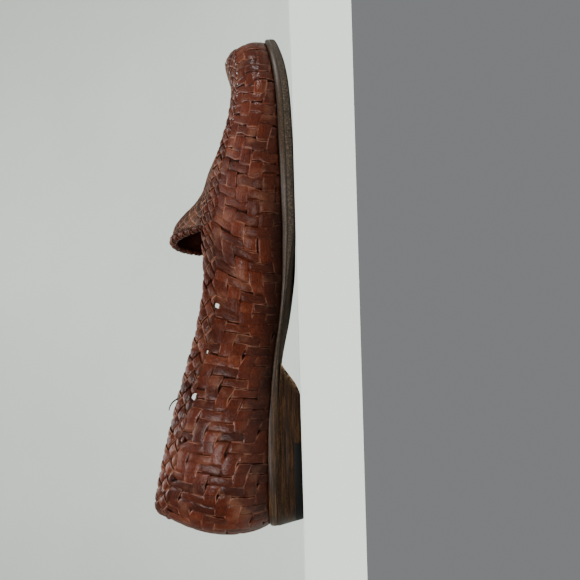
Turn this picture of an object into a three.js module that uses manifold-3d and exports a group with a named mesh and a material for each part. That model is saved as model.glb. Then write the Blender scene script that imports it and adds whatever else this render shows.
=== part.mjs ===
// A woven leather loafer for the left foot, standing empty on its sole.
// Millimetres, +Z up, toe towards +X, outer (lateral) side towards +Y, inner (medial) side towards -Y.
// A station is a distance along the foot from the rearmost point of the heel.
import * as THREE from "three";
import { mergeVertices } from "three/addons/utils/BufferGeometryUtils.js";
import Module from "manifold-3d";

const wasm = await Module();
wasm.setup();

// Driving dimensions
const LENGTH = 295.5; // heel bulge to sole tip
const BALL_WIDTH = 101; // across the outsole at the ball
const TOE_SWING = 5; // how far the toe end of the foot axis turns to the inner side
const SEAT_GAP = 0.3; // between pieces that lie on each other
const SOLE_BACK = 3; // station of the sole's rear edge
const ARCH_TWIST = 1.2; // the sole's inner edge above its axis at the waist
const EDGE_BAND = 2.1; // height of the sole edge's upper band
const EDGE_GROOVE = 0.5; // depth and height of the groove under that band

const WALL = 2.2; // woven upper's thickness
const STRIP_WIDTH = 7.3; // pitch of the strips that run along the shoe
const STRIP_RAISE = 0.6; // how far a strip stands above the grooves of the weave
const STRIP_BEVEL = 0.9; // width of a strip's rounded edge
const STRIPS_ROUND = 104; // upright strips round the shoe, a multiple of the back's repeat
const REPEAT_BACK = 4; // an upright strip passes over two lengthwise strips and under two
const REPEAT_FRONT = 3; // over two and under one
const WEAVE_CHANGE = 176; // station where the back's weave turns into the front's
const PITCH_BACK = 5.9; // of the upright strips along the sole's edge, behind the change
const PITCH_FRONT = 6.8;
const BRAID_COLLAR = 8; // width of the plaited edge at the collar
const BRAID_APRON = 7.2; // width of the plaited seam round the apron
const BRAID_STEP = 0.6; // the plait stands above the side weave
const BRAID_RAISE = 0.6; // its diamonds stand above that
const BULGE_LOW = 0.75; // below 1 puts the wall's fullest part under half its height
const COLLAR_DROP = 5.5; // the outer side's collar is lower than the inner side's
const THROAT = 171; // station where the outer side's collar ends and the apron begins
const TAB_SKEW = 2; // the inner side's throat lies this many strips ahead of the outer side's
const TAB_REACH = 1.5; // the apron's rear edge reaches back at its middle
const APRON_ARCH = 2.3; // above 2 makes the apron's arch flatter on top
const APRON_CELLS = 10; // plait cells across the apron

const INSOLE_THICK = 3;
const INSOLE_GAP = 0.5; // between the insole and the sole
const INSOLE_CLEAR = 0.6; // between the insole and the upper's inside

const TOP_PIECE = 4.6; // height of the lowest heel layer
const MIDDLE_LIFT = 9; // height of the top of the second layer
const HEEL_BREAST = 84; // station of the heel's front at the floor
const BREAST_SLOPE = 1.4; // the breast runs forward by this much for each mm up
const BREAST_SKEW = 4.5; // the breast's inner corner lies ahead of its middle, the outer one behind
const HEEL_TAPER_BACK = 4; // the heel's back draws in towards the floor
const HEEL_TAPER_SIDE = 1.2;
const RUBBER_FRONT = 58; // station of the rubber tip's front
const GAP_SIZE = 2.2; // side of a gap in the weave beside the collar plait

// Tables, one row for each section of the last

function table(columns, rows) {
  return rows.map((row) => Object.fromEntries(columns.map((name, i) => [name, row[i]])));
}

// Half-widths of the outsole on each side of the foot axis.
const SOLE_PLAN = table(["station", "medial", "lateral"], [
  [20, 25, 26],
  [42, 30.5, 31.5],
  [72, 30.5, 33],
  [100, 28, 33.5],
  [125, 27, 35],
  [150, 31, 38.5],
  [175, 39.5, 44.5],
  [200, 47.5, 50],
  [222, 50, 50],
  [245, 46.5, 46.5],
  [265, 39.5, 38.5],
  [280, 29.5, 28],
  [290, 18.5, 17.5],
]);

// Side view of the outsole: its underside above the floor, its thickness, and its bevelled lower edge.
const SOLE_LINE = table(["station", "bottom", "thick", "bevelIn", "bevelUp"], [
  [0, 15.3, 5.2, 0.5, 0.3],
  [40, 14.8, 5.0, 0.5, 0.3],
  [67, 14.0, 5.0, 0.5, 0.3],
  [84, 12.6, 4.8, 0.8, 0.4],
  [100, 11.0, 4.7, 4.0, 1.2],
  [112, 9.0, 4.7, 7.0, 1.6],
  [124, 6.7, 4.6, 7.5, 1.7],
  [141, 4.0, 4.8, 7.0, 1.7],
  [155, 2.1, 5.6, 5.5, 1.6],
  [170, 0.8, 6.8, 3.0, 1.0],
  [184, 0.0, 7.5, 1.2, 0.4],
  [217, 0.0, 7.8, 1.0, 0.4],
  [230, 0.2, 8.0, 1.0, 0.4],
  [244, 0.6, 7.8, 1.0, 0.4],
  [258, 1.5, 7.7, 1.0, 0.4],
  [272, 3.4, 7.4, 1.0, 0.4],
  [284, 6.4, 6.7, 1.0, 0.4],
  [295.5, 10.0, 5.8, 1.0, 0.4],
]);

// The wall of the upper above the feather line, where it meets the sole: how far the line lies inside the
// sole's edge, the angle by which the wall rolls over towards its rim, and how far it bulges.
const WALL_SHAPE = table(["station", "inset", "roll", "bulgeMedial", "bulgeLateral"], [
  [5, 2.2, 50, 7.0, 7.0],
  [40, 1.8, 46, 5.5, 5.5],
  [85, 1.2, 42, 5.0, 4.2],
  [125, 1.0, 40, 6.5, 4.0],
  [155, 1.6, 42, 5.5, 4.0],
  [178, 2.2, 48, 4.0, 3.5],
  [205, 2.8, 54, 3.0, 3.0],
  [240, 3.0, 58, 2.6, 2.6],
  [293, 3.0, 68, 1.6, 1.6],
]);

// The rim: the collar's edge, and from the throat on the apron's edge. Half-widths and height over the floor.
const RIM_BACK = 13.5;
const RIM_TOE = 284;
const RIM = table(["station", "medial", "lateral", "height"], [
  [20, 13, 13, 86.6],
  [42, 21.5, 21.5, 81.2],
  [71, 25.5, 26.5, 73.2],
  [100, 27.5, 29, 64.3],
  [127, 28.5, 31, 56.3],
  [154, 30, 33, 52],
  [178, 31, 34, 52],
  [188, 30, 33, 52.5],
  [200, 29.5, 32, 49.2],
  [217, 28.5, 30.5, 45.2],
  [232, 27, 28.5, 40.2],
  [248, 24.5, 25, 35.6],
  [262, 21, 21, 33.8],
  [275, 15, 15, 36],
  [282, 7, 7, 37.4],
]);

// How the upright strips lean: the station of a strip's top end for that of its foot.
const STRIP_LEAN = table(["foot", "top"], [
  [60, 62],
  [100, 104],
  [125, 132],
  [150, 164],
  [167, 183],
  [200, 209],
  [240, 245],
  [270, 266],
]);

// How far the apron's middle stands above its edges.
const APRON = table(["station", "crown"], [
  [178, 23.2],
  [185, 20.8],
  [192, 15.4],
  [199, 9.8],
  [206, 6.6],
  [214, 5.6],
  [221, 4.2],
  [230, 2.3],
  [245, 1.8],
  [258, 2.2],
  [268, 1.4],
  [278, 2.0],
  [284, 1.6],
]);

// Curves through the tables

// A smooth curve through points (x, y). A tight one doesn't overshoot them, a loose one turns more gently.
function curve(points, loose = false) {
  const spans = points.slice(1).map((p, i) => p.x - points[i].x);
  const slopes = points.slice(1).map((p, i) => (p.y - points[i].y) / spans[i]);
  const tangents = points.map((_, i) => {
    const back = Math.max(i - 1, 0);
    const ahead = Math.min(i, slopes.length - 1);
    const [before, after] = [slopes[back], slopes[ahead]];
    if (loose) return (before * spans[ahead] + after * spans[back]) / (spans[back] + spans[ahead]);
    return before * after <= 0 ? 0 : (2 * before * after) / (before + after);
  });
  return (x) => {
    let i = points.findIndex((p) => p.x >= x);
    if (i === 0) return points[0].y;
    if (i < 0) return points.at(-1).y;
    const [a, b] = [points[i - 1], points[i]];
    const span = b.x - a.x;
    const t = (x - a.x) / span;
    const bend = tangents[i - 1] * (1 - t) - tangents[i] * t;
    return a.y + (b.y - a.y) * t * t * (3 - 2 * t) + span * t * (1 - t) * bend;
  };
}

const column = (rows, name) => curve(rows.map((row) => ({ x: row.station, y: row[name] })));

const soleBottom = column(SOLE_LINE, "bottom");
const soleThick = column(SOLE_LINE, "thick");
const bevelIn = column(SOLE_LINE, "bevelIn");
const bevelUp = column(SOLE_LINE, "bevelUp");
const feather = column(WALL_SHAPE, "inset");
const wallRoll = column(WALL_SHAPE, "roll");
const wallBulge = { "-1": column(WALL_SHAPE, "bulgeMedial"), 1: column(WALL_SHAPE, "bulgeLateral") };
const rimHeight = column(RIM, "height");
const apronCrown = column(APRON, "crown");

const footAxis = (station) => -TOE_SWING * THREE.MathUtils.smoothstep(station, 150, LENGTH);

// The arch lifts the inner edge of the waist and lowers the outer one.
function archTwist(station, y) {
  const waist = THREE.MathUtils.smoothstep(station, 95, 130) - THREE.MathUtils.smoothstep(station, 140, 185);
  return (-ARCH_TWIST * waist * y) / (BALL_WIDTH / 3);
}

const floorOfSole = (station, y) => soleBottom(station) + archTwist(station, y);
const topOfSole = (station, y) => floorOfSole(station, y) + soleThick(station);

// A closed plan outline from half-width rows, round at both ends. The place on it is a side, +1 or -1, and
// an angle from 0 at the heel to pi at the toe.
function outline(back, front, rows) {
  const angleAt = (station) => Math.acos(1 - (2 * (station - back)) / (front - back));
  const ends = [{ x: 0, y: 0 }, { x: Math.PI, y: 0 }];
  const widths = (name) => {
    const inner = rows.map((row) => ({ x: angleAt(row.station), y: row[name] }));
    return curve([ends[0], ...inner, ends[1]], true);
  };
  const width = { "-1": widths("medial"), 1: widths("lateral") };
  const point = (side, angle) => {
    const station = back + ((front - back) * (1 - Math.cos(angle))) / 2;
    return new THREE.Vector2(station, footAxis(station) + side * width[side](angle));
  };
  return { point, angleAt };
}

const tableWidth = Math.max(...SOLE_PLAN.map((row) => row.medial + row.lateral));
const widthScale = BALL_WIDTH / tableWidth;
const soleRows = SOLE_PLAN.map((row) => ({
  station: row.station,
  medial: row.medial * widthScale,
  lateral: row.lateral * widthScale,
}));
const soleOutline = outline(SOLE_BACK, LENGTH, soleRows);
const rimOutline = outline(RIM_BACK, RIM_TOE, RIM);
const leanRows = STRIP_LEAN.map((row) => ({
  x: soleOutline.angleAt(row.foot),
  y: rimOutline.angleAt(row.top),
}));
const topAngle = curve([{ x: 0, y: 0 }, ...leanRows, { x: Math.PI, y: Math.PI }], true);

// The ring coordinate runs from 0 at the heel's middle along the outer side to the toe, and back along the
// inner side to a full turn. A step is one upright strip.
const HALF = STRIPS_ROUND / 2;
const angleOfRing = evenAngles(HALF);

function evenAngles(steps) {
  const fine = 2000;
  const places = [0];
  for (let i = 1; i <= fine; i++) {
    const length = [1, -1].map((side) =>
      soleOutline
        .point(side, (Math.PI * i) / fine)
        .distanceTo(soleOutline.point(side, (Math.PI * (i - 1)) / fine)),
    );
    const { x: station } = soleOutline.point(1, (Math.PI * i) / fine);
    const inFront = THREE.MathUtils.smoothstep(station, WEAVE_CHANGE - 25, WEAVE_CHANGE + 10);
    const pitch = THREE.MathUtils.lerp(PITCH_BACK, PITCH_FRONT, inFront);
    places.push(places[i - 1] + (length[0] + length[1]) / (2 * pitch));
  }
  const scale = steps / places[fine];
  return curve(places.map((p, i) => ({ x: p * scale, y: (Math.PI * i) / fine })));
}

function ringPlace(ring) {
  const turn = ((ring % STRIPS_ROUND) + STRIPS_ROUND) % STRIPS_ROUND;
  return turn <= HALF
    ? { side: 1, angle: angleOfRing(turn) }
    : { side: -1, angle: angleOfRing(STRIPS_ROUND - turn) };
}

function soleEdge(ring) {
  const { side, angle } = ringPlace(ring);
  return soleOutline.point(side, angle);
}

// Outward direction in plan from the sole's edge.
function outward(ring) {
  const step = 0.05;
  const along = soleEdge(ring + step).sub(soleEdge(ring - step)).normalize();
  return new THREE.Vector2(-along.y, along.x);
}

function insetEdge(ring, distance) {
  return soleEdge(ring).addScaledVector(outward(ring), -distance);
}

// The wall of the upper

function featherPoint(ring) {
  const station = soleEdge(ring).x;
  const plan = insetEdge(ring, feather(station));
  return new THREE.Vector3(plan.x, plan.y, topOfSole(plan.x, plan.y) + SEAT_GAP);
}

function rimPoint(ring) {
  const { side, angle } = ringPlace(ring);
  const plan = rimOutline.point(side, topAngle(angle));
  const collar = THREE.MathUtils.smoothstep(plan.x, 25, 70) - THREE.MathUtils.smoothstep(plan.x, 140, THROAT);
  const drop = side > 0 ? COLLAR_DROP * collar : 0;
  return new THREE.Vector3(plan.x, plan.y, rimHeight(plan.x) - drop);
}

function braidWidth(ring) {
  const station = rimPoint(ring).x;
  const onApron = THREE.MathUtils.smoothstep(station, THROAT - 12, THROAT + 15);
  return THREE.MathUtils.lerp(BRAID_COLLAR, BRAID_APRON, onApron);
}

// The wall's profile at a place on the ring, as points from the rim down to the feather line.
const PROFILE_STEPS = 48;
const profiles = new Map();

function profileAt(ring) {
  const key = ring.toFixed(4);
  if (!profiles.has(key)) profiles.set(key, makeProfile(ring));
  return profiles.get(key);
}

function makeProfile(ring) {
  const base = featherPoint(ring);
  const rim = rimPoint(ring);
  const station = soleEdge(ring).x;
  const out = outward(ring);
  const roll = THREE.MathUtils.degToRad(wallRoll(station));
  const { angle } = ringPlace(ring);
  const toOuter = (1 + Math.sign(soleEdge(ring).y - footAxis(station)) * Math.sin(angle) ** 0.5) / 2;
  const bulge = THREE.MathUtils.lerp(wallBulge[-1](station), wallBulge[1](station), toOuter);
  const points = [];
  const below = [0];
  for (let i = 0; i <= PROFILE_STEPS; i++) {
    const v = 1 - i / PROFILE_STEPS;
    const lean = (1 - Math.cos(roll * v)) / (1 - Math.cos(roll));
    const rise = Math.sin(roll * v) / Math.sin(roll);
    const swell = bulge * Math.sin(Math.PI * v ** BULGE_LOW);
    points.push(new THREE.Vector3(
      THREE.MathUtils.lerp(base.x, rim.x, lean) + out.x * swell,
      THREE.MathUtils.lerp(base.y, rim.y, lean) + out.y * swell,
      THREE.MathUtils.lerp(base.z, rim.z, rise),
    ));
    if (i > 0) below.push(below[i - 1] + points[i].distanceTo(points[i - 1]));
  }
  const braid = braidWidth(ring);
  return { points, below, braid, depth: below.at(-1) - braid };
}

// A point of the wall at a depth below the plait's lower edge. Negative depths are in the plait.
function wallPoint(ring, depth) {
  const { points, below, braid } = profileAt(ring);
  const target = THREE.MathUtils.clamp(depth + braid, 0, below.at(-1));
  let i = below.findIndex((length) => length >= target);
  i = Math.max(i, 1);
  const share = (target - below[i - 1]) / (below[i] - below[i - 1]);
  return points[i - 1].clone().lerp(points[i], share);
}

function wallNormal(ring, depth) {
  const step = 0.25;
  const { braid, depth: deepest } = profileAt(ring);
  const low = Math.max(depth - step, -braid);
  const high = Math.min(depth + step, deepest);
  const down = wallPoint(ring, high).sub(wallPoint(ring, low));
  const along = wallPoint(ring + step, depth).sub(wallPoint(ring - step, depth));
  return along.cross(down).normalize();
}

const wallOuter = (ring, depth, raise) =>
  wallPoint(ring, depth).addScaledVector(wallNormal(ring, depth), raise);

// The apron

// A point of the apron at a place on the outer side's ring and from -1 at the inner edge to 1 at the outer.
function apronPoint(ring, across) {
  const inner = rimPoint(STRIPS_ROUND - Math.max(ring, throatInner));
  const outer = rimPoint(ring);
  const arch = 1 - Math.abs(across) ** APRON_ARCH;
  const point = inner.lerp(outer, (across + 1) / 2);
  const crown = apronCrown(point.x);
  const tab = 1 - THREE.MathUtils.smoothstep(point.x, THROAT, THROAT + 30);
  point.x -= TAB_REACH * tab * arch;
  point.z += crown * arch;
  return point;
}

function apronNormal(ring, across) {
  const step = 0.05;
  const near = Math.max(across - step, -1);
  const far = Math.min(across + step, 1);
  const over = apronPoint(ring, far).sub(apronPoint(ring, near));
  const ahead = Math.min(ring + step, HALF - 0.001);
  const along = apronPoint(ahead, across).sub(apronPoint(ahead - 2 * step, across));
  return along.cross(over).normalize();
}

// Skins of triangles

class Skin {
  corners = [];

  triangle(a, b, c) {
    const tiny = 1e-4;
    if (a.distanceTo(b) < tiny || b.distanceTo(c) < tiny || c.distanceTo(a) < tiny) return;
    this.corners.push(a, b, c);
  }

  quad(a, b, c, d) {
    this.triangle(a, b, c);
    this.triangle(a, c, d);
  }

  // Joins two chains of {at, point} that run the same way. The faces look along (way) x (first to second).
  zip(first, second) {
    let i = 0;
    let j = 0;
    while (i < first.length - 1 || j < second.length - 1) {
      const secondDone = j === second.length - 1;
      const useFirst = secondDone || (i < first.length - 1 && first[i + 1].at <= second[j + 1].at);
      if (useFirst) {
        this.triangle(first[i].point, first[i + 1].point, second[j].point);
        i += 1;
      } else {
        this.triangle(first[i].point, second[j + 1].point, second[j].point);
        j += 1;
      }
    }
  }

  // A polygon with its middle raised: a ring of bevels and a flat top.
  plateau(border, top) {
    border.forEach((corner, i) => {
      const next = (i + 1) % border.length;
      this.quad(corner, border[next], top[next], top[i]);
    });
    for (let i = 1; i < top.length - 1; i++) this.triangle(top[0], top[i], top[i + 1]);
  }

  geometry() {
    const loose = new THREE.BufferGeometry().setFromPoints(this.corners);
    return mergeVertices(loose, 1e-4);
  }
}

function solidOf(geometry) {
  const shape = geometry.clone();
  shape.deleteAttribute("normal");
  shape.deleteAttribute("uv");
  const merged = mergeVertices(shape, 1e-4);
  return new wasm.Manifold(new wasm.Mesh({
    numProp: 3,
    vertProperties: merged.attributes.position.array,
    triVerts: new Uint32Array(merged.index.array),
  }));
}

function geometryOf(solid) {
  const { vertProperties, triVerts, numProp } = solid.getMesh();
  const geometry = new THREE.BufferGeometry();
  geometry.setAttribute("position", new THREE.BufferAttribute(vertProperties, numProp));
  geometry.setIndex(new THREE.BufferAttribute(triVerts, 1));
  return geometry;
}

// The upper's outer skin

// In each row the lengthwise strip's block lies one upright strip further on than in the row above.
function isLengthwiseOver(strip, row) {
  const repeat = soleEdge(strip + 0.5).x < WEAVE_CHANGE ? REPEAT_BACK : REPEAT_FRONT;
  return (((row - strip) % repeat) + repeat) % repeat >= 2;
}

const rowDepth = (ring, row) => Math.min(row * STRIP_WIDTH, profileAt(ring).depth);

function rowsOf(strip) {
  const deepest = Math.max(profileAt(strip).depth, profileAt(strip + 1).depth);
  return Math.ceil(deepest / STRIP_WIDTH);
}

const showsLengthwise = (strip, row) => row < rowsOf(strip) && isLengthwiseOver(strip, row);

// The raised blocks that begin at one upright strip: its own, each over two rows or so, and those of the
// lengthwise strips, which go on over the next upright strip where they cross that one too.
function weaveColumn(skin, strip) {
  const rows = rowsOf(strip);
  let row = 0;
  while (row < rows) {
    const first = row;
    row += 1;
    if (!isLengthwiseOver(strip, first)) {
      while (row < rows && !isLengthwiseOver(strip, row)) row += 1;
      weaveBlock(skin, strip, strip + 1, first, row);
    } else if (!showsLengthwise(strip - 1, first)) {
      let end = strip + 1;
      while (showsLengthwise(end, first)) end += 1;
      weaveBlock(skin, strip, end, first, row);
    }
  }
}

// A block between two rings and two row lines. Its border has a corner wherever one of a neighbour may lie.
function weaveBlock(skin, from, to, first, last) {
  const corners = [];
  const plaitStep = first === 0 ? 1 / HALF_STEPS : 1;
  for (let row = last; row >= first; row--) corners.push({ ring: from, row });
  for (let ring = from + plaitStep; ring < to; ring += plaitStep) corners.push({ ring, row: first });
  for (let row = first; row <= last; row++) corners.push({ ring: to, row });
  for (let ring = to - 1; ring > from; ring--) corners.push({ ring, row: last });
  const border = corners.map(({ ring, row }) => wallPoint(ring, rowDepth(ring, row)));
  const heights = [from, to].map((ring) => rowDepth(ring, last) - rowDepth(ring, first));
  if (Math.min(...heights) < 3 * STRIP_BEVEL) {
    for (let i = 1; i < border.length - 1; i++) skin.triangle(border[0], border[i], border[i + 1]);
    return;
  }
  const width = profileAt(from).points[0].distanceTo(profileAt(from + 1).points[0]);
  const bevelRing = STRIP_BEVEL / (width + 4);
  const top = corners.map(({ ring, row }) => {
    const within = THREE.MathUtils.clamp(ring, from + bevelRing, to - bevelRing);
    const upper = rowDepth(within, first) + STRIP_BEVEL;
    const lower = rowDepth(within, last) - STRIP_BEVEL;
    const depth = THREE.MathUtils.clamp(rowDepth(within, row), upper, Math.max(lower, upper));
    return wallOuter(within, depth, STRIP_RAISE);
  });
  skin.plateau(border, top);
}

// A sheet of plait: a grid whose corners rise in turn, so that it shows as diamonds.
function plait(skin, grid) {
  for (let i = 0; i < grid.length - 1; i++) {
    for (let j = 0; j < grid[i].length - 1; j++) {
      const [a, b, c, d] = [grid[i][j], grid[i + 1][j], grid[i + 1][j + 1], grid[i][j + 1]];
      if ((i + j) % 2 === 0) {
        skin.triangle(a, b, d);
        skin.triangle(b, c, d);
      } else {
        skin.triangle(a, b, c);
        skin.triangle(a, c, d);
      }
    }
  }
}

const BRAID_ROWS = 3;
const HALF_STEPS = 2; // plait cells for each upright strip

// The plaited band from the rim to the side weave, all round.
function braidGrid() {
  const grid = [];
  for (let i = 0; i < STRIPS_ROUND * HALF_STEPS; i++) {
    const ring = i / HALF_STEPS;
    const line = [];
    for (let j = 0; j <= BRAID_ROWS; j++) {
      const depth = -braidWidth(ring) * (1 - j / BRAID_ROWS);
      const crest = (i + j) % 2 === 0 ? BRAID_RAISE : 0;
      const raise = j === BRAID_ROWS ? 0 : BRAID_STEP + crest;
      line.push(wallOuter(ring, depth, raise));
    }
    grid.push(line);
  }
  grid.push(grid[0]);
  return grid;
}

const throatStrip = Math.round(ringAtRim(THROAT));
const throatInner = throatStrip + TAB_SKEW;

// The ring place on the outer side whose rim is at a station.
function ringAtRim(station) {
  let ring = 0;
  while (rimPoint(ring).x < station) ring += 0.05;
  return ring;
}

// The apron's outer skin, between the rims of the two sides.
function apronGrid(braid) {
  const grid = [];
  for (let i = throatStrip * HALF_STEPS; i <= HALF * HALF_STEPS; i++) {
    const ring = Math.min(i / HALF_STEPS, HALF - 0.001);
    const outerEdge = braid[i][0];
    const innerEdge = braid[(STRIPS_ROUND - Math.max(i / HALF_STEPS, throatInner)) * HALF_STEPS][0];
    const fade = THREE.MathUtils.smoothstep(outerEdge.distanceTo(innerEdge), 0, 20);
    const line = [innerEdge];
    for (let j = 1; j < APRON_CELLS; j++) {
      const across = -1 + (2 * j) / APRON_CELLS;
      const crest = (i + j) % 2 === 0 ? BRAID_RAISE : 0;
      const raise = (BRAID_STEP + crest) * fade;
      const point = apronPoint(ring, across).addScaledVector(apronNormal(ring, across), raise);
      line.push(outerEdge === innerEdge ? outerEdge : point);
    }
    line.push(outerEdge);
    grid.push(line);
  }
  return grid;
}

// The upper's inner skin

const INNER_ROWS = 3;
const INNER_APRON = 4;

function innerWallPoint(ring, row) {
  const { braid, depth } = profileAt(ring);
  const at = THREE.MathUtils.lerp(-braid, depth, row / INNER_ROWS);
  const point = wallOuter(ring, at, -WALL);
  if (row === INNER_ROWS) point.z = topOfSole(point.x, point.y) + SEAT_GAP;
  return point;
}

function innerRows() {
  const rows = [];
  for (let row = 0; row <= INNER_ROWS; row++) {
    const chain = [];
    for (let strip = 0; strip < STRIPS_ROUND; strip++) {
      chain.push({ at: strip, point: innerWallPoint(strip, row) });
    }
    chain.push({ at: STRIPS_ROUND, point: chain[0].point });
    rows.push(chain);
  }
  return rows;
}

function innerApron(rim) {
  const grid = [];
  for (let strip = throatStrip; strip <= HALF; strip++) {
    const ring = Math.min(strip, HALF - 0.001);
    const line = [rim[STRIPS_ROUND - Math.max(strip, throatInner)].point];
    for (let j = 1; j < INNER_APRON; j++) {
      const across = -1 + (2 * j) / INNER_APRON;
      const point = apronPoint(ring, across).addScaledVector(apronNormal(ring, across), -WALL);
      line.push(strip === HALF ? rim[HALF].point : point);
    }
    line.push(rim[strip].point);
    grid.push(line);
  }
  return grid;
}

// Small openings beside the collar plait, where the upright strips turn into it.
function weaveGaps() {
  const gaps = [];
  const depth = GAP_SIZE * 0.7;
  for (let strip = 0; strip < STRIPS_ROUND; strip++) {
    const behindThroat = rimPoint(strip + 1).x < THROAT - 8 && rimPoint(strip).x > RIM_BACK + 8;
    const endsBlock = isLengthwiseOver(strip, 1) && !isLengthwiseOver(strip + 1, 1);
    if (!behindThroat || !endsBlock) continue;
    const gap = new THREE.CylinderGeometry(GAP_SIZE, GAP_SIZE, 4 * WALL, 3);
    const normal = wallNormal(strip + 0.95, depth);
    gap.applyQuaternion(new THREE.Quaternion().setFromUnitVectors(new THREE.Vector3(0, 1, 0), normal));
    const centre = wallPoint(strip + 0.95, depth);
    gap.translate(centre.x, centre.y, centre.z);
    gaps.push(solidOf(gap));
  }
  return gaps;
}

function makeUpper() {
  const skin = new Skin();
  for (let strip = 0; strip < STRIPS_ROUND; strip++) weaveColumn(skin, strip);
  const braid = braidGrid();
  plait(skin, braid);
  const apron = apronGrid(braid);
  plait(skin, apron);

  const rows = innerRows();
  for (let row = 0; row < INNER_ROWS; row++) skin.zip(rows[row + 1], rows[row]);
  const lining = innerApron(rows[0]);
  for (let i = 0; i < lining.length - 1; i++) {
    for (let j = 0; j < INNER_APRON; j++) {
      skin.quad(lining[i][j], lining[i][j + 1], lining[i + 1][j + 1], lining[i + 1][j]);
    }
  }

  // The lower edge, the collar's edge and the apron's rear edge close the wall.
  const foot = rows[INNER_ROWS].map(({ at }) => ({ at, point: wallPoint(at, profileAt(at).depth) }));
  skin.zip(foot, rows[INNER_ROWS]);
  const outerRim = braid.map((line, i) => ({ at: i / HALF_STEPS, point: line[0] }));
  const collarOuter = outerRim.filter(({ at }) => at <= throatStrip);
  const collarInner = outerRim.filter(({ at }) => at >= STRIPS_ROUND - throatInner);
  skin.zip(rows[0].filter(({ at }) => at <= throatStrip), collarOuter);
  skin.zip(rows[0].filter(({ at }) => at >= STRIPS_ROUND - throatInner), collarInner);
  const rear = apron[0].map((point, j) => ({ at: j / APRON_CELLS, point }));
  const rearLining = lining[0].map((point, j) => ({ at: j / INNER_APRON, point }));
  skin.zip(rear, rearLining);

  const whole = solidOf(skin.geometry());
  return geometryOf(weaveGaps().reduce((solid, gap) => solid.subtract(gap), whole));
}

// Slabs between plan rings

// A solid from closed rings of points, top first. Cross lines between the ring's two sides make its ends.
function slab(rings) {
  const skin = new Skin();
  const closed = rings.map((ring) => [...ring, ring[0]].map((point, at) => ({ at, point })));
  for (let i = 0; i < closed.length - 1; i++) skin.zip(closed[i], closed[i + 1]);
  cap(skin, rings[0], 1);
  cap(skin, rings.at(-1), -1);
  return skin.geometry();
}

function cap(skin, ring, facing) {
  const count = ring.length;
  const middle = Math.floor(count / 2);
  const left = (k) => ring[k];
  const right = (k) => ring[(count - k) % count];
  for (let k = 0; k < middle; k++) {
    const corners = [left(k), right(k), right(k + 1), left(k + 1)];
    if (facing < 0) corners.reverse();
    skin.quad(...corners);
  }
}

const SOLE_STEPS = 72;

function soleRing(inset, height) {
  const ring = [];
  for (let i = 0; i < SOLE_STEPS; i++) {
    const at = (i * STRIPS_ROUND) / SOLE_STEPS;
    const station = soleEdge(at).x;
    const plan = insetEdge(at, inset(station));
    ring.push(new THREE.Vector3(plan.x, plan.y, height(plan.x, plan.y)));
  }
  return ring;
}

// The outsole: a rounded top corner, a band and a groove along its side, and a bevel under the waist.
function makeOutsole() {
  const fromTop = (drop) => (station, y) => topOfSole(station, y) - drop;
  const corner = 0.7;
  return slab([
    soleRing(() => corner, fromTop(0)),
    soleRing(() => 0, fromTop(corner)),
    soleRing(() => 0, fromTop(EDGE_BAND)),
    soleRing(() => EDGE_GROOVE, fromTop(EDGE_BAND + EDGE_GROOVE / 2)),
    soleRing(() => 0, fromTop(EDGE_BAND + EDGE_GROOVE)),
    soleRing(() => 0.2, (station, y) => floorOfSole(station, y) + bevelUp(station)),
    soleRing(bevelIn, floorOfSole),
  ]);
}

function makeInsole() {
  const inset = (station) => feather(station) + WALL + INSOLE_CLEAR;
  const seat = (station, y) => topOfSole(station, y) + INSOLE_GAP;
  const top = (station, y) => seat(station, y) + INSOLE_THICK;
  const corner = 0.8;
  return slab([
    soleRing((station) => inset(station) + corner, top),
    soleRing(inset, (station, y) => top(station, y) - corner),
    soleRing(inset, seat),
  ]);
}

// The heel

const HEEL_STEPS = 12;
const heelHeight = soleBottom(SOLE_BACK);
const breastStation = (z) => HEEL_BREAST + BREAST_SLOPE * z;

// Where the breast's slope meets a surface, on one side of the heel.
function breastAt(height, side) {
  let station = HEEL_BREAST;
  while (station < breastStation(height(station, 0))) station += 0.05;
  return station - side * BREAST_SKEW;
}

// A point on the heel's side at a share of the way from its back to a front station.
function heelEdge(side, share, front, z) {
  const angle = soleOutline.angleAt(front) * share;
  const edge = soleOutline.point(side, angle);
  const low = 1 - z / heelHeight;
  const fromBack = Math.cos(Math.min(angle * 2, Math.PI / 2));
  edge.y -= side * HEEL_TAPER_SIDE * low * Math.sin(Math.min(angle * 2, Math.PI / 2));
  edge.x += HEEL_TAPER_BACK * low * fromBack;
  return edge;
}

// A closed ring round the heel's back to a front station, at a height.
function heelRing(front, height) {
  const ring = [];
  for (let k = -HEEL_STEPS; k <= HEEL_STEPS; k++) {
    const side = k < 0 ? -1 : 1;
    const edge = heelEdge(side, Math.abs(k) / HEEL_STEPS, front(height, side), height(0, 0));
    ring.push(new THREE.Vector3(edge.x, edge.y, height(edge.x, edge.y)));
  }
  return ring;
}

// A heel layer between two heights: its sides, its breast and its ends of cross lines.
function heelLayer(front, top, bottom) {
  const skin = new Skin();
  const rings = [heelRing(front, top), heelRing(front, bottom)];
  const closed = rings.map((ring) => [...ring, ring[0]].map((point, at) => ({ at, point })));
  skin.zip(closed[0], closed[1]);
  rings.forEach((ring, i) => {
    for (let k = 0; k < HEEL_STEPS; k++) {
      const last = ring.length - 1;
      const corners = [ring[k], ring[last - k], ring[last - k - 1], ring[k + 1]];
      if (i === 1) corners.reverse();
      skin.quad(...corners);
    }
  });
  return skin.geometry();
}

const flat = (z) => () => z;

function makeTopLift() {
  const seat = (station, y) => floorOfSole(station, y) - SEAT_GAP;
  return heelLayer(breastAt, seat, flat(MIDDLE_LIFT + SEAT_GAP));
}

const makeMiddleLift = () => heelLayer(breastAt, flat(MIDDLE_LIFT), flat(TOP_PIECE + SEAT_GAP));

const makeRubberTip = () => heelLayer(() => RUBBER_FRONT, flat(TOP_PIECE), flat(0));

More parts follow.
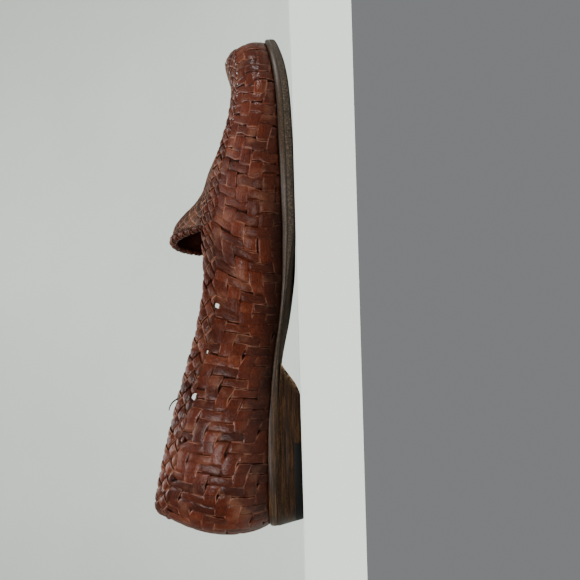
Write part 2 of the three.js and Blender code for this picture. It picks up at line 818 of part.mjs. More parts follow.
// The leather part of the top piece, from the rubber tip to the breast.
function makeLeatherTip() {
  const back = RUBBER_FRONT + SEAT_GAP;
  const steps = 6;
  const rings = [TOP_PIECE, 0].map((z) => {
    const sides = { "-1": [], 1: [] };
    for (const side of [-1, 1]) {
      for (let k = 0; k <= steps; k++) {
        const station = THREE.MathUtils.lerp(back, breastAt(flat(z), side), k / steps);
        const edge = heelEdge(side, 1, station, z);
        sides[side].push(new THREE.Vector3(station, edge.y, z));
      }
    }
    return sides;
  });
  const skin = new Skin();
  const [top, bottom] = rings;
  const around = (sides) => {
    const points = [...sides[1], ...sides[-1].toReversed(), sides[1][0]];
    return points.map((point, at) => ({ at, point }));
  };
  skin.zip(around(top), around(bottom));
  for (let k = 0; k < steps; k++) {
    skin.quad(top[-1][k], top[-1][k + 1], top[1][k + 1], top[1][k]);
    skin.quad(bottom[1][k], bottom[1][k + 1], bottom[-1][k + 1], bottom[-1][k]);
  }
  return skin.geometry();
}

// Assembly

function material(color, roughness) {
  return new THREE.MeshStandardMaterial({ color, roughness, metalness: 0 });
}

const finishes = {
  wovenLeather: material("#7a3f28", 0.35),
  soleLeather: material("#6b5b4a", 0.6),
  heelLeather: material("#4f3c2b", 0.5),
  rubber: material("#262826", 0.7),
  insoleLeather: material("#8a5a3a", 0.55),
};

const loafer = new THREE.Group();

function piece(name, geometry, finish) {
  const mesh = new THREE.Mesh(geometry, finish);
  mesh.name = name;
  loafer.add(mesh);
}

piece("outsole", makeOutsole(), finishes.soleLeather);
piece("upper", makeUpper(), finishes.wovenLeather);
piece("insole", makeInsole(), finishes.insoleLeather);
piece("heel_lift_top", makeTopLift(), finishes.heelLeather);
piece("heel_lift_middle", makeMiddleLift(), finishes.heelLeather);
piece("heel_piece_leather", makeLeatherTip(), finishes.heelLeather);
piece("heel_piece_rubber", makeRubberTip(), finishes.rubber);

// The origin is on the floor under the middle of the shoe.
const size = new THREE.Box3().setFromObject(loafer);
const middle = size.getCenter(new THREE.Vector3());
loafer.position.set(-middle.x, -middle.y, -size.min.z);

export default loafer;
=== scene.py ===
import math

import bpy
import numpy as np
from mathutils import Matrix, Vector


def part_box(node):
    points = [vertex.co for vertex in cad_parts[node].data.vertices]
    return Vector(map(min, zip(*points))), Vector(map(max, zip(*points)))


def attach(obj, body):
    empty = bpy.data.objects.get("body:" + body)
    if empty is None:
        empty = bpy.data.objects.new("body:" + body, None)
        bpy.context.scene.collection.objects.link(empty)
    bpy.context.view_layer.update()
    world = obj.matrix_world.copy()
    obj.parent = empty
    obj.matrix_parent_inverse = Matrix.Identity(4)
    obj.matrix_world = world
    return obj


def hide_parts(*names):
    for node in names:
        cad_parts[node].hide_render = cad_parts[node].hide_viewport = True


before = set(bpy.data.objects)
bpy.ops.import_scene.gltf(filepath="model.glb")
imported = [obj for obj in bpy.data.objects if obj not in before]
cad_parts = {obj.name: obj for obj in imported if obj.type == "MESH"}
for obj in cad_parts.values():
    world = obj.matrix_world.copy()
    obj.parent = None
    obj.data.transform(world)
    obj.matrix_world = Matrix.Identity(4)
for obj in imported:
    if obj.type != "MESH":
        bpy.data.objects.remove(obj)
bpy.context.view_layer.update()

rng = np.random.default_rng(seed=7)

# Sizes in millimetres, the same as those of the solids. A station is a distance from the heel's back.
LENGTH = 295.5
BALL_WIDTH = 101.0
TOE_SWING = 5.0
SWING_START = 150.0
SEAT_GAP = 0.3
SOLE_BACK = 3.0
ARCH_TWIST = 1.2
TWIST_COMES = (95, 130)  # stations
TWIST_GOES = (140, 185)
EDGE_SHARE = 0.46  # the groove in the sole's edge lies this share of its thickness down
WALL = 2.2
STRIP_WIDTH = 7.3
STRIPS = 104  # upright strips round the shoe
HALF = STRIPS / 2
REPEAT_BACK = 4
REPEAT_FRONT = 3
WEAVE_CHANGE = 176.0
PITCH_BACK = 5.9
PITCH_FRONT = 6.8
PITCH_CHANGES = (WEAVE_CHANGE - 25, WEAVE_CHANGE + 10)  # stations
BULGE_LOW = 0.75
THROAT = 171.0
BRAID = (8.0, 7.2)  # width of the plait's bed along the collar and round the apron
BRAID_CHANGES = (THROAT - 12, THROAT + 15)  # stations
COLLAR_DROP = 5.5  # the outer side's collar is lower by this
DROP_COMES = (25, 70)  # stations
DROP_GOES = (140, THROAT)
TAB_SKEW = 2
TAB_REACH = 1.5
TAB_LENGTH = 30.0
APRON_ARCH = 2.3
INSOLE_THICK = 3.0
INSOLE_GAP = 0.5
INSOLE_CLEAR = 0.6
TOP_PIECE = 4.6
MIDDLE_LIFT = 9.0
HEEL_BREAST = 84.0
BREAST_SLOPE = 1.4
BREAST_SKEW = 4.5
HEEL_TAPER_BACK = 4.0
HEEL_TAPER_SIDE = 1.2
RUBBER_FRONT = 58.0
RIM_BACK = 13.5
RIM_TOE = 284.0

# The strips of the side weave. Where a share or height has two values, the second is for the weave in front.
STRIP_THICK = 1.1
STRIPS_CHANGE = (WEAVE_CHANGE - 20, WEAVE_CHANGE + 10)  # stations
STRIP_SWING = (0.5, 0.42)  # how far a strip rises and dips about the weave's middle
WEAVE_MIDDLE = (-0.37, -0.32)  # the weave's middle, from the wall's outer face
STEEPNESS = 1.9  # how sharply a strip goes from over to under
UPRIGHT_RAISE = 0.5  # a strip stays on top longer with more of this
LENGTHWISE_RAISE = 0.95
LENGTHWISE_RAISE_FRONT = 0.35  # added in front
DIVE = (-0.3, 0.75)  # a strip gets painted shade between these heights, 1 being on top
UPRIGHT_SHARE = (0.452, 0.405)  # half an upright strip's width, as a share of the pitch
UPRIGHT_TOP = -3.0  # depth at which an upright strip starts, under the plait
UPRIGHT_PAST = 1.2  # and how far it goes past the feather line
UPRIGHT_STEP = 0.75
UPRIGHT_TONES = (0.1, 0.9)  # the shades that its strips vary between, 0 being dark
UPRIGHT_WANDER = 0.07  # in strips, over the length below
WANDER_LENGTH = 9.0
UPRIGHT_ASTRAY = 0.035  # in strips
UPRIGHT_UNEVEN = 0.07  # share of its width
UNEVEN_LENGTH = 5.0
UPRIGHT_TILT = 0.1
TILT_LENGTH = 11.0
STRIP_PUSH = (0.07, 0.1)  # a block pushes the upright strips beside it away by this share of the pitch
OVER_SPREAD = 0.05  # a strip grows by this share where it lies on top
UNDER_SPREAD = 0.2  # an upright strip in front grows by this share where it lies below
LENGTHWISE_SHARE = 0.525  # half a lengthwise strip's width, as a share of a row
LENGTHWISE_STEP = 0.125
LENGTHWISE_TONES = (0.2, 0.8)
BLOCK_TONE = 0.55  # share of a block's shade that is its own, the rest being the strip's
LENGTHWISE_WAVES = ((0.35, 5), (0.45, 17))  # how far a lengthwise strip wanders, times round the shoe
LENGTHWISE_UNEVEN = 0.09
UNEVEN_TIMES = 23
BLOCK_SPREAD = (0.4, 0.2)  # half a block grows by this much where it lies on top
BLOCK_SLANT = 1.4  # a block's ends lie this far up and down from its middle, behind the weave's change
SLANT_GOES = (WEAVE_CHANGE - 30, WEAVE_CHANGE)  # stations
FOOT_TALL = 17.0  # height of the painted shade along the weave's foot
GAP_PLACE = 0.95  # a gap's place within its strip
GAP_MARGIN = 8.0
GAP_WIDEST = 0.34  # half a gap's width beside the plait, in upright strips
GAP_TOP = -2.0  # the gaps reach from here to the depth below, from the plait's lower edge
GAP_DEEP = 2.7
GAP_CLEAR = 0.6  # a block draws back this much further
GAP_BELL = 0.9  # a gap's effect to both sides, in half widths
GAP_FADE = 1.7  # how quickly it fades above and below
GAPS_SEEN = ((79.95, 0.6), (83.95, 0.45), (87.95, 1.0))  # places of gaps that show light, shares
PHASES = 6.28  # random phases lie between 0 and this

# The plaits and the apron's weave
PLAIT_LONG = (10.8, 6.4)  # length of the plait's diamonds along the collar and round the apron
PLAIT_TAB = 6.6
PLAIT_WIDE = 6.5  # width of a diamond
PLAIT_TOP = (-3.4, -0.8)  # the plait's upper edge, from the rim, which it goes over
PLAIT_BELOW = 0.5  # how far it reaches below the lower edge of its bed
PLAIT_BELOW_APRON = 1.7  # and round the apron still further
PLAIT_ON_TAB = (-3.8, 6.6)  # the tab's plait, from over the tab's edge to this far in front
RIBBON_SHARE = 0.455  # half a ribbon's width, in diamonds
RIBBON_WIDTHS = 0.05  # spread of the ribbons' widths
RIBBON_ASTRAY = 0.03  # and of their places
RIBBON_UNEVEN = 0.06
RIBBON_STEPS = 29
RIBBON_TONES = (0.05, 0.8)
RIBBON_DARK = 0.6  # how much painted shade a ribbon gets where it lies below
RIBBON_LIFT = 0.1
RIBBON_SWING = 0.85
RIBBON_STEEPNESS = 1.6
RIBBON_ROUND = 1.2  # a ribbon's section is this much taller than a strip's
RIBBON_END = 1.6  # length over which a ribbon's end goes down
RIBBON_DROP = 0.9
BACKING = (0.06, 0.86)  # shares of the plait's width between which its backing lies
BACKING_DEEP = 0.75
BACKING_GRID = (4, 12)  # steps for each diamond, points across
RIBBON_SLANT = 1.3  # length of a ribbon for each millimetre across the plait
TOE_TURN = (262, RIM_TOE)  # stations over which the band turns to face the heel
FLAP_STEEPEST = 1.4
FLAP_NARROWEST = 9.0  # half the apron's width counts as this where it is less
THROAT_PITCH = 6.9  # length of the apron from one ring place to the next, at the tab
LOOSE_END_STATION = 85.0
LOOSE_END_BACK = 6.8
LOOSE_END_RISE = 6.8
LOOSE_END_OUT = 0.6
LOOSE_END_THICK = 1.0
APRON_PITCH = 3.8
APRON_SHARE = 0.47
APRON_STEP = 0.8
APRON_STRIPS = range(-30, 60)  # more than fit
APRON_NARROWEST = 2.0
APRON_EDGE = 0.985  # share of the way to the rim where a strip ends
APRON_SHORTEST = 4  # steps
APRON_TONES = (0.0, 0.75)
APRON_MIDDLE = -0.2
APRON_SWING = 0.5
APRON_FLAT = 0.75  # an apron strip's section is this much lower than a side strip's
APRON_BACKING = -0.8
APRON_GRID = (60, 25)  # points of the backing along and across
APRON_START = 60.0  # strip 0 of each set crosses the middle this far ahead of the throat
DIAGONAL = 1.414

SOLE_PLAN = np.array([
    # station, medial, lateral
    (20, 25, 26), (42, 30.5, 31.5), (72, 30.5, 33), (100, 28, 33.5), (125, 27, 35), (150, 31, 38.5),
    (175, 39.5, 44.5), (200, 47.5, 50), (222, 50, 50), (245, 46.5, 46.5), (265, 39.5, 38.5),
    (280, 29.5, 28), (290, 18.5, 17.5),
], float)
SOLE_LINE = np.array([
    # station, bottom, thickness, bevel in, bevel up
    (0, 15.3, 5.2, 0.5, 0.3), (40, 14.8, 5, 0.5, 0.3), (67, 14, 5, 0.5, 0.3), (84, 12.6, 4.8, 0.8, 0.4),
    (100, 11, 4.7, 4, 1.2), (112, 9, 4.7, 7, 1.6), (124, 6.7, 4.6, 7.5, 1.7), (141, 4, 4.8, 7, 1.7),
    (155, 2.1, 5.6, 5.5, 1.6), (170, 0.8, 6.8, 3, 1), (184, 0, 7.5, 1.2, 0.4), (217, 0, 7.8, 1, 0.4),
    (230, 0.2, 8, 1, 0.4), (244, 0.6, 7.8, 1, 0.4), (258, 1.5, 7.7, 1, 0.4), (272, 3.4, 7.4, 1, 0.4),
    (284, 6.4, 6.7, 1, 0.4), (295.5, 10, 5.8, 1, 0.4),
], float)
WALL_SHAPE = np.array([
    # station, inset, roll, medial bulge, lateral bulge
    (5, 2.2, 50, 7.0, 7.0), (40, 1.8, 46, 5.5, 5.5), (85, 1.2, 42, 5.0, 4.2), (125, 1.0, 40, 6.5, 4.0),
    (155, 1.6, 42, 5.5, 4.0), (178, 2.2, 48, 4.0, 3.5), (205, 2.8, 54, 3.0, 3.0), (240, 3.0, 58, 2.6, 2.6),
    (293, 3.0, 68, 1.6, 1.6),
], float)
RIM = np.array([
    # station, medial, lateral, height
    (20, 13, 13, 86.6), (42, 21.5, 21.5, 81.2), (71, 25.5, 26.5, 73.2), (100, 27.5, 29, 64.3),
    (127, 28.5, 31, 56.3), (154, 30, 33, 52), (178, 31, 34, 52), (188, 30, 33, 52.5), (200, 29.5, 32, 49.2),
    (217, 28.5, 30.5, 45.2), (232, 27, 28.5, 40.2), (248, 24.5, 25, 35.6), (262, 21, 21, 33.8),
    (275, 15, 15, 36), (282, 7, 7, 37.4),
], float)
STRIP_LEAN = np.array([
    # foot, top
    (60, 62), (100, 104), (125, 132), (150, 164), (167, 183), (200, 209), (240, 245), (270, 266),
], float)
APRON = np.array([
    # station, crown
    (178, 23.2), (185, 20.8), (192, 15.4), (199, 9.8), (206, 6.6), (214, 5.6), (221, 4.2), (230, 2.3),
    (245, 1.8), (258, 2.2), (268, 1.4), (278, 2.0), (284, 1.6),
], float)
FOOT_DARK = np.array([
    # station, how strong the painted shade along the weave's foot is
    (0, 0.6), (60, 0.7), (110, 1.0), (185, 0.9), (215, 0.45), (260, 0.3), (295, 0.3),
], float)
HALF_SECTION = np.array([
    # place across a strip, rise, nearness to its edge
    (-1.0, -0.75, 1.0), (-1.0, -0.1, 1.0), (-0.97, 0.14, 0.97), (-0.92, 0.33, 0.9), (-0.84, 0.44, 0.8),
    (-0.45, 0.54, 0.4), (0.0, 0.58, 0.0),
])


# Curves and small helpers
def blend(first, last, share):
    return first * (1 - share) + last * share


def ease(x, low, high):
    """From 0 at the low value to 1 at the high one, with soft ends."""
    t = np.clip((np.asarray(x, float) - low) / (high - low), 0, 1)
    return t * t * (3 - 2 * t)


def unit(v):
    return v / np.maximum(np.linalg.norm(v, axis=-1, keepdims=True), 1e-9)


def arrays(*values):
    """The values as arrays of one shape."""
    return np.broadcast_arrays(*(np.asarray(value, float) for value in values))


def constant(value):
    """A function of a place that has one value everywhere."""
    return lambda place, *more: np.full_like(place, value)


def with_height(plan, height):
    return np.concatenate([plan, height[..., None]], -1)


def running_length(points, pitch=1.0):
    """The length of a line up to each of its points, in pitches."""
    steps = np.linalg.norm(np.diff(points, axis=0), axis=1) / pitch
    return np.concatenate([[0], np.cumsum(steps)])


def curve(xs, ys, loose=False):
    """A smooth curve through points. A tight one doesn't overshoot them."""
    spans = np.diff(xs)
    slopes = np.diff(ys) / spans
    before = np.concatenate([slopes[:1], slopes])
    after = np.concatenate([slopes, slopes[-1:]])
    if loose:
        left = np.concatenate([spans[:1], spans])
        right = np.concatenate([spans, spans[-1:]])
        tangents = (before * right + after * left) / (left + right)
    else:
        product = before * after
        total = np.where(product > 0, before + after, 1.0)
        tangents = np.where(product > 0, 2 * product / total, 0.0)

    def at(x):
        x = np.clip(np.asarray(x, float), xs[0], xs[-1])
        i = np.clip(np.searchsorted(xs, x, side="right") - 1, 0, len(spans) - 1)
        t = (x - xs[i]) / spans[i]
        bend = tangents[i] * (1 - t) - tangents[i + 1] * t
        smooth = ys[i] + (ys[i + 1] - ys[i]) * t * t * (3 - 2 * t)
        return smooth + spans[i] * t * (1 - t) * bend

    return at


def curves(table):
    """A curve for each further column of a table."""
    return [curve(table[:, 0], column) for column in table.T[1:]]


sole_bottom, sole_thick, bevel_in, bevel_up = curves(SOLE_LINE)
feather_inset, wall_roll, bulge_medial, bulge_lateral = curves(WALL_SHAPE)
rim_height = curves(RIM)[2]
apron_crown = curves(APRON)[0]
foot_dark = curves(FOOT_DARK)[0]


# The sole's plan, the rim and the wall between them
def foot_axis(station):
    return -TOE_SWING * ease(station, SWING_START, LENGTH)


def floor_of_sole(station, y):
    waist = ease(station, *TWIST_COMES) - ease(station, *TWIST_GOES)
    return sole_bottom(station) - ARCH_TWIST * waist * y / (BALL_WIDTH / 3)


def top_of_sole(station, y):
    return floor_of_sole(station, y) + sole_thick(station)


def with_ends(row, last=0.0):
    return np.concatenate([[0], row, [last]])


class Outline:
    """A closed plan outline from half-width rows, round at both ends."""

    def __init__(self, back, front, rows, scale=1.0):
        self.back = back
        self.front = front
        angles = with_ends(self.angle_at(rows[:, 0]), math.pi)
        self.medial = curve(angles, with_ends(rows[:, 1] * scale), True)
        self.lateral = curve(angles, with_ends(rows[:, 2] * scale), True)

    def angle_at(self, station):
        share = 2 * (np.asarray(station, float) - self.back) / (self.front - self.back)
        return np.arccos(np.clip(1 - share, -1, 1))

    def point(self, side, angle):
        station = self.back + (self.front - self.back) * (1 - np.cos(angle)) / 2
        width = np.where(side > 0, self.lateral(angle), self.medial(angle))
        return np.stack([station, foot_axis(station) + side * width], -1)


width_scale = BALL_WIDTH / np.max(SOLE_PLAN[:, 1] + SOLE_PLAN[:, 2])
sole_outline = Outline(SOLE_BACK, LENGTH, SOLE_PLAN, width_scale)
rim_outline = Outline(RIM_BACK, RIM_TOE, RIM)
top_angle = curve(
    with_ends(sole_outline.angle_at(STRIP_LEAN[:, 0]), math.pi),
    with_ends(rim_outline.angle_at(STRIP_LEAN[:, 1]), math.pi),
    True,
)


def even_angles(steps):
    """The outline's angle for each place round the ring, a place being one upright strip further."""
    angles = np.linspace(0, math.pi, 2001)
    gaps = 0
    for side in (1, -1):
        gaps = gaps + np.linalg.norm(np.diff(sole_outline.point(side, angles), axis=0), axis=1) / 2
    station = sole_outline.point(1, angles)[1:, 0]
    pitch = PITCH_BACK + (PITCH_FRONT - PITCH_BACK) * ease(station, *PITCH_CHANGES)
    places = np.concatenate([[0], np.cumsum(gaps / pitch)])
    return lambda ring: np.interp(ring, places * steps / places[-1], angles)


angle_of_ring = even_angles(HALF)


def ring_place(ring):
    turn = np.mod(np.asarray(ring, float), STRIPS)
    side = np.where(turn <= HALF, 1, -1)
    return side, angle_of_ring(np.where(turn <= HALF, turn, STRIPS - turn))


def sole_edge(ring):
    return sole_outline.point(*ring_place(ring))


def outward(ring):
    nearby = 0.05
    along = sole_edge(ring + nearby) - sole_edge(ring - nearby)
    along = unit(along)
    return np.stack([-along[..., 1], along[..., 0]], -1)


def inset_edge(ring, distance):
    return sole_edge(ring) - outward(ring) * np.asarray(distance)[..., None]


def rim_point(ring):
    side, angle = ring_place(ring)
    plan = rim_outline.point(side, top_angle(angle))
    station = plan[..., 0]
    collar = ease(station, *DROP_COMES) - ease(station, *DROP_GOES)
    return with_height(plan, rim_height(station) - np.where(side > 0, COLLAR_DROP * collar, 0))


# The wall of the upper as a fine table of points, evenly spaced from the rim down to the feather line
FINE = 6  # columns for each upright strip
DOWN = 96  # rows
WALL_STEPS = 129  # points down the wall before they are spaced evenly


def make_wall_table():
    ring = np.arange(STRIPS * FINE + 1) / FINE
    edge = sole_edge(ring)
    station = edge[:, 0]
    plan = inset_edge(ring, feather_inset(station))
    base = with_height(plan, top_of_sole(*plan.T) + SEAT_GAP)[:, None]
    rim = rim_point(ring)[:, None]
    side_share = np.sqrt(np.abs(np.sin(ring_place(ring)[1])))
    lean_out = (1 + np.sign(edge[:, 1] - foot_axis(station)) * side_share) / 2
    bulge = blend(bulge_medial(station), bulge_lateral(station), lean_out)
    roll = np.radians(wall_roll(station))[:, None]
    up = np.linspace(1, 0, WALL_STEPS)
    lean = (1 - np.cos(roll * up)) / (1 - np.cos(roll))
    rise = np.sin(roll * up) / np.sin(roll)
    swell = bulge[:, None] * np.sin(math.pi * up ** BULGE_LOW)
    spread = blend(base[..., :2], rim[..., :2], lean[..., None]) + outward(ring)[:, None] * swell[..., None]
    points = with_height(spread, blend(base[..., 2], rim[..., 2], rise))
    below = np.stack([running_length(line) for line in points])
    even = np.empty((len(ring), DOWN + 1, 3))
    for i, line in enumerate(points):
        at = np.linspace(0, below[i, -1], DOWN + 1)
        even[i] = np.stack([np.interp(at, below[i], axis) for axis in line.T], -1)
    wrapped = np.concatenate([even[-2:-1], even, even[1:2]], 0)
    normal = unit(np.cross(wrapped[2:] - wrapped[:-2], np.gradient(even, axis=1)))
    on_apron = ease(rim[:, 0, 0], *BRAID_CHANGES)
    return even, normal, below[:, -1], blend(*BRAID, on_apron), on_apron


wall_points, wall_normals, wall_length, wall_braid, wall_apron = make_wall_table()


def ring_cell(ring):
    """The table's column before a place round the ring, and the share of the way to the next."""
    place = np.mod(ring, STRIPS) * FINE
    i = np.minimum(place.astype(int), STRIPS * FINE - 1)
    return i, place - i


def by_ring(values, ring):
    i, share = ring_cell(ring)
    return blend(values[i], values[i + 1], share)


def wall_depth(ring):
    """How far the side weave reaches below the plait."""
    return by_ring(wall_length, ring) - by_ring(wall_braid, ring)


def wall(ring, depth, lift=0.0):
    """A point below the plait's lower edge, lifted from the wall. Past the feather line it turns in."""
    ring, depth, lift = arrays(ring, depth, lift)
    length = by_ring(wall_length, ring)
    from_rim = depth + by_ring(wall_braid, ring)
    past = np.maximum(from_rim - length, 0)
    row = np.clip(from_rim / length, 0, 1) * DOWN
    j = np.minimum(row.astype(int), DOWN - 1)
    down = (row - j)[..., None]
    i, share = ring_cell(ring)

    def between(values):
        near = blend(values[i, j], values[i, j + 1], down)
        far = blend(values[i + 1, j], values[i + 1, j + 1], down)
        return blend(near, far, share[..., None])

    point = between(wall_points) + unit(between(wall_normals)) * lift[..., None]
    point[..., :2] -= outward(ring) * past[..., None]
    return point


# The apron between the rims of the two sides
ring_fine = np.linspace(0, HALF, 4001)
rim_station = rim_point(ring_fine)[:, 0]
THROAT_RING = float(np.round(np.interp(THROAT, rim_station, ring_fine)))
INNER_THROAT = THROAT_RING + TAB_SKEW
APRON_END = HALF - 0.02


def apron_sides(ring):
    return rim_point(STRIPS - np.maximum(ring, INNER_THROAT)), rim_point(ring)


def apron(ring, across):
    ring, across = arrays(ring, across)
    inner, outer = apron_sides(ring)
    arch = 1 - np.abs(np.clip(across, -1, 1)) ** APRON_ARCH
    point = inner + (outer - inner) * ((across + 1) / 2)[..., None]
    tab = 1 - ease(point[..., 0], THROAT, THROAT + TAB_LENGTH)
    point[..., 2] += apron_crown(point[..., 0]) * arch
    point[..., 0] -= TAB_REACH * tab * arch
    return point


def apron_lifted(ring, across, lift):
    ring, across, lift = arrays(ring, across, lift)
    nearby = 0.1
    beside = 0.04
    ahead = np.minimum(ring, HALF - 1.2 * nearby)
    along = apron(ahead + nearby, across) - apron(ahead - nearby, across)
    over = apron(ahead, np.clip(across + beside, -1, 1)) - apron(ahead, np.clip(across - beside, -1, 1))
    return apron(ring, across) + unit(np.cross(along, over)) * lift[..., None]


def apron_place(station, side):
    """A plan point's place round the ring and across the apron, and the apron's width there."""
    ring = np.interp(station, rim_station, ring_fine)
    inner, outer = (rim[..., 1] for rim in apron_sides(ring))
    across = (side - (inner + outer) / 2) / np.maximum((outer - inner) / 2, 1.0)
    return ring, across, outer - inner


# The part's frame: the outsole's box says where stations and sides lie in it.
sole_low, sole_high = (np.array(corner) * 1000 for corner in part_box("outsole"))
edge_sample = sole_edge(np.arange(0, STRIPS, 0.05))
SHIFT = np.array([
    sole_low[0] - SOLE_BACK,
    (sole_low[1] + sole_high[1]) / 2 - (edge_sample[:, 1].min() + edge_sample[:, 1].max()) / 2,
    0.0,
])


# Meshes
def add_object(name, data):
    thing = bpy.data.objects.new(name, data)
    bpy.context.scene.collection.objects.link(thing)
    return thing


class Sheet:
    """Grids of points joined in one mesh, with values at each point for the materials."""

    def __init__(self, name):
        self.name = name
        self.points = []
        self.faces = []
        self.values = {}
        self.count = 0

    def grid(self, points, **values):
        rows, columns = points.shape[:2]
        index = np.arange(rows * columns).reshape(rows, columns) + self.count
        quads = np.stack([index[:-1, :-1], index[1:, :-1], index[1:, 1:], index[:-1, 1:]], -1)
        self.faces.append(quads.reshape(-1, 4))
        self.points.append(points.reshape(-1, 3))
        for key, value in values.items():
            flat = np.broadcast_to(np.asarray(value, float), (rows, columns)).reshape(-1)
            self.values.setdefault(key, []).append(flat)
        self.count += rows * columns

    def strip(self, points, tone, edge=0.0, low=0.0, foot=0.0, over=0.0, length=0.0):
        """A grid with the values that woven leather reads."""
        self.grid(points, tone=tone, edge=edge, low=low, foot=foot, over=over, length=length)

    def build(self, material, node, flip=False):
        points = (np.concatenate(self.points) + SHIFT) * 0.001
        faces = np.concatenate(self.faces)
        if flip:
            faces = faces[:, ::-1]
        mesh = bpy.data.meshes.new(self.name)
        mesh.from_pydata(points, [], faces, shade_flat=False)
        for key, parts in self.values.items():
            layer = mesh.attributes.new(key, "FLOAT", "POINT")
            layer.data.foreach_set("value", np.concatenate(parts).astype(np.float32))
        mesh.validate()
        mesh.materials.append(material)
        piece = add_object(self.name, mesh)
        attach(piece, "root")
        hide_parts(node)


# Materials
class Nodes:
    """A short way to write a shader."""

    def __init__(self, name):
        self.material = bpy.data.materials.new(name)
        self.material.use_nodes = True
        self.tree = self.material.node_tree
        self.surface = self.tree.nodes["Principled BSDF"]

    def add(self, kind, **settings):
        node = self.tree.nodes.new(kind)
        for key, value in settings.items():
            if key in node.inputs:
                self.put(node.inputs[key], value)
            else:
                setattr(node, key, value)
        return node

    def put(self, socket, value):
        if isinstance(value, bpy.types.NodeSocket):
            self.tree.links.new(value, socket)
        else:
            socket.default_value = value

    def set(self, **values):
        for key, value in values.items():
            self.put(self.surface.inputs[key.replace("_", " ")], value)

    def value(self, name):
        return self.add("ShaderNodeAttribute", attribute_name=name).outputs["Fac"]

    def place(self, stretch=(1.0, 1.0, 1.0)):
        coordinates = self.add("ShaderNodeTexCoord").outputs["Object"]
        return self.add("ShaderNodeMapping", Vector=coordinates, Scale=stretch).outputs["Vector"]

    def noise(self, vector, scale, detail=3.0, roughness=0.5):
        settings = {"Vector": vector, "Scale": scale, "Detail": detail, "Roughness": roughness}
        return self.add("ShaderNodeTexNoise", **settings).outputs["Fac"]

    def math(self, operation, a, b=0.0, clamp=False):
        node = self.add("ShaderNodeMath", operation=operation, use_clamp=clamp)
        self.put(node.inputs[0], a)
        self.put(node.inputs[1], b)
        return node.outputs[0]

    def times(self, a, b, clamp=False):
        return self.math("MULTIPLY", a, b, clamp)

    def plus(self, a, b):
        return self.math("ADD", a, b)

    def minus(self, a, b, clamp=False):
        return self.math("SUBTRACT", a, b, clamp)

    def most(self, a, b):
        return self.math("MAXIMUM", a, b)

    def peak(self, value, middle, slope):
        """1 where a value is at the middle, falling to both sides."""
        return self.minus(1.0, self.math("ABSOLUTE", self.times(self.minus(value, middle), slope)))

    def ramp(self, fac, *stops):
        """Stops are pairs of a position and a colour, or a number for a grey."""
        node = self.add("ShaderNodeValToRGB", Fac=fac)
        elements = node.color_ramp.elements
        while len(elements) < len(stops):
            elements.new(0.5)
        for element, (position, colour) in zip(elements, stops):
            element.position = position
            element.color = (*(colour if isinstance(colour, tuple) else [colour] * 3), 1.0)
        return node.outputs["Color"]

    def mix(self, fac, a, b, blend_type="MIX"):
        node = self.add("ShaderNodeMix", data_type="RGBA", blend_type=blend_type)
        self.put(node.inputs[0], fac)
        self.put(node.inputs[6], a)
        self.put(node.inputs[7], (*b, 1.0) if isinstance(b, tuple) else b)
        return node.outputs[2]

    def bump(self, height, strength, distance, normal=None):
        node = self.add("ShaderNodeBump", Height=height, Strength=strength, Distance=distance)
        if normal is not None:
            self.put(node.inputs["Normal"], normal)
        return node.outputs["Normal"]


def tint(red, green, blue, share=1.0):
    """A share of an sRGB colour, 0 to 255, as linear light."""
    levels = [share * level for level in (red, green, blue)]
    return tuple(((c / 255 + 0.055) / 1.055) ** 2.4 if c > 10 else c / 255 / 12.92 for c in levels)


SHADE_STOPS = (0.0, 0.35, 0.62, 0.95)
WARM = ((30, 8, 2), (55, 16, 3), (81, 29, 8), (116, 53, 22))
DULL = ((27, 8, 3), (50, 16, 5), (74, 28, 11), (108, 54, 31))
OLIVE = ((22, 9, 4), (44, 22, 11), (68, 39, 22), (108, 74, 48))
RUBBED = (172, 122, 94)
WORN_EDGE = (170, 118, 96)
# Painted shade for the gaps between strips and where they dive, and for the weave along the sole.
CREVICE_SHADE = (34, 9, 3)
FOOT_SHADE = (18, 6, 3)


def crease_noise(n):
    """Folds that run across a strip."""
    down = n.times(n.value("length"), 0.14)
    place = n.add("ShaderNodeCombineXYZ", X=n.value("over"), Y=down, Z=n.times(n.value("tone"), 40.0))
    return n.noise(place.outputs[0], 1.5, 5.0, 0.62)


def strip_colour(n, where, mottle, creases, shades, dark):
    """Shades by strip, patch, mottle and crease, with rubbed places."""
    tone = n.plus(n.times(n.value("tone"), 0.34), n.times(n.noise(where, 45.0), 0.66))
    tone = n.plus(tone, n.times(n.minus(mottle, 0.5), 0.9))
    tone = n.plus(tone, n.times(n.minus(creases, 0.5), 0.3))
    colour = n.ramp(tone, *((at, tint(*shade, dark)) for at, shade in zip(SHADE_STOPS, shades)))
    rubbed = n.ramp(n.noise(where, 95.0, 2.0), (0.54, 0.0), (0.72, 0.26))
    return n.mix(n.times(rubbed, n.noise(where, 1300.0, 4.0, 0.75)), colour, tint(*RUBBED, dark))


def edge_wear(n, where, wear):
    """Pale wear along a strip's edges and where it starts to dive."""
    pale = n.most(n.most(n.peak(n.value("edge"), 0.8, 8.0), n.peak(n.value("low"), 0.14, 9.0)), 0.0)
    start = 0.64 - 0.36 * wear
    worn = n.ramp(n.noise(where, 150.0, 4.0, 0.6), (start, 0.0), (start + 0.14, 1.0))
    return n.times(n.times(pale, worn, clamp=True), wear, clamp=True)


def coat_share(n, where):
    """The polish is best at heel and toe, and matt between them."""
    from_heel = n.add("ShaderNodeSeparateXYZ", Vector=where).outputs[0]
    from_heel = n.plus(n.math("DIVIDE", from_heel, LENGTH / 1000), 0.5)
    return n.ramp(from_heel, (0.28, 1.0), (0.42, 0.42), (0.7, 0.42), (0.86, 1.0))


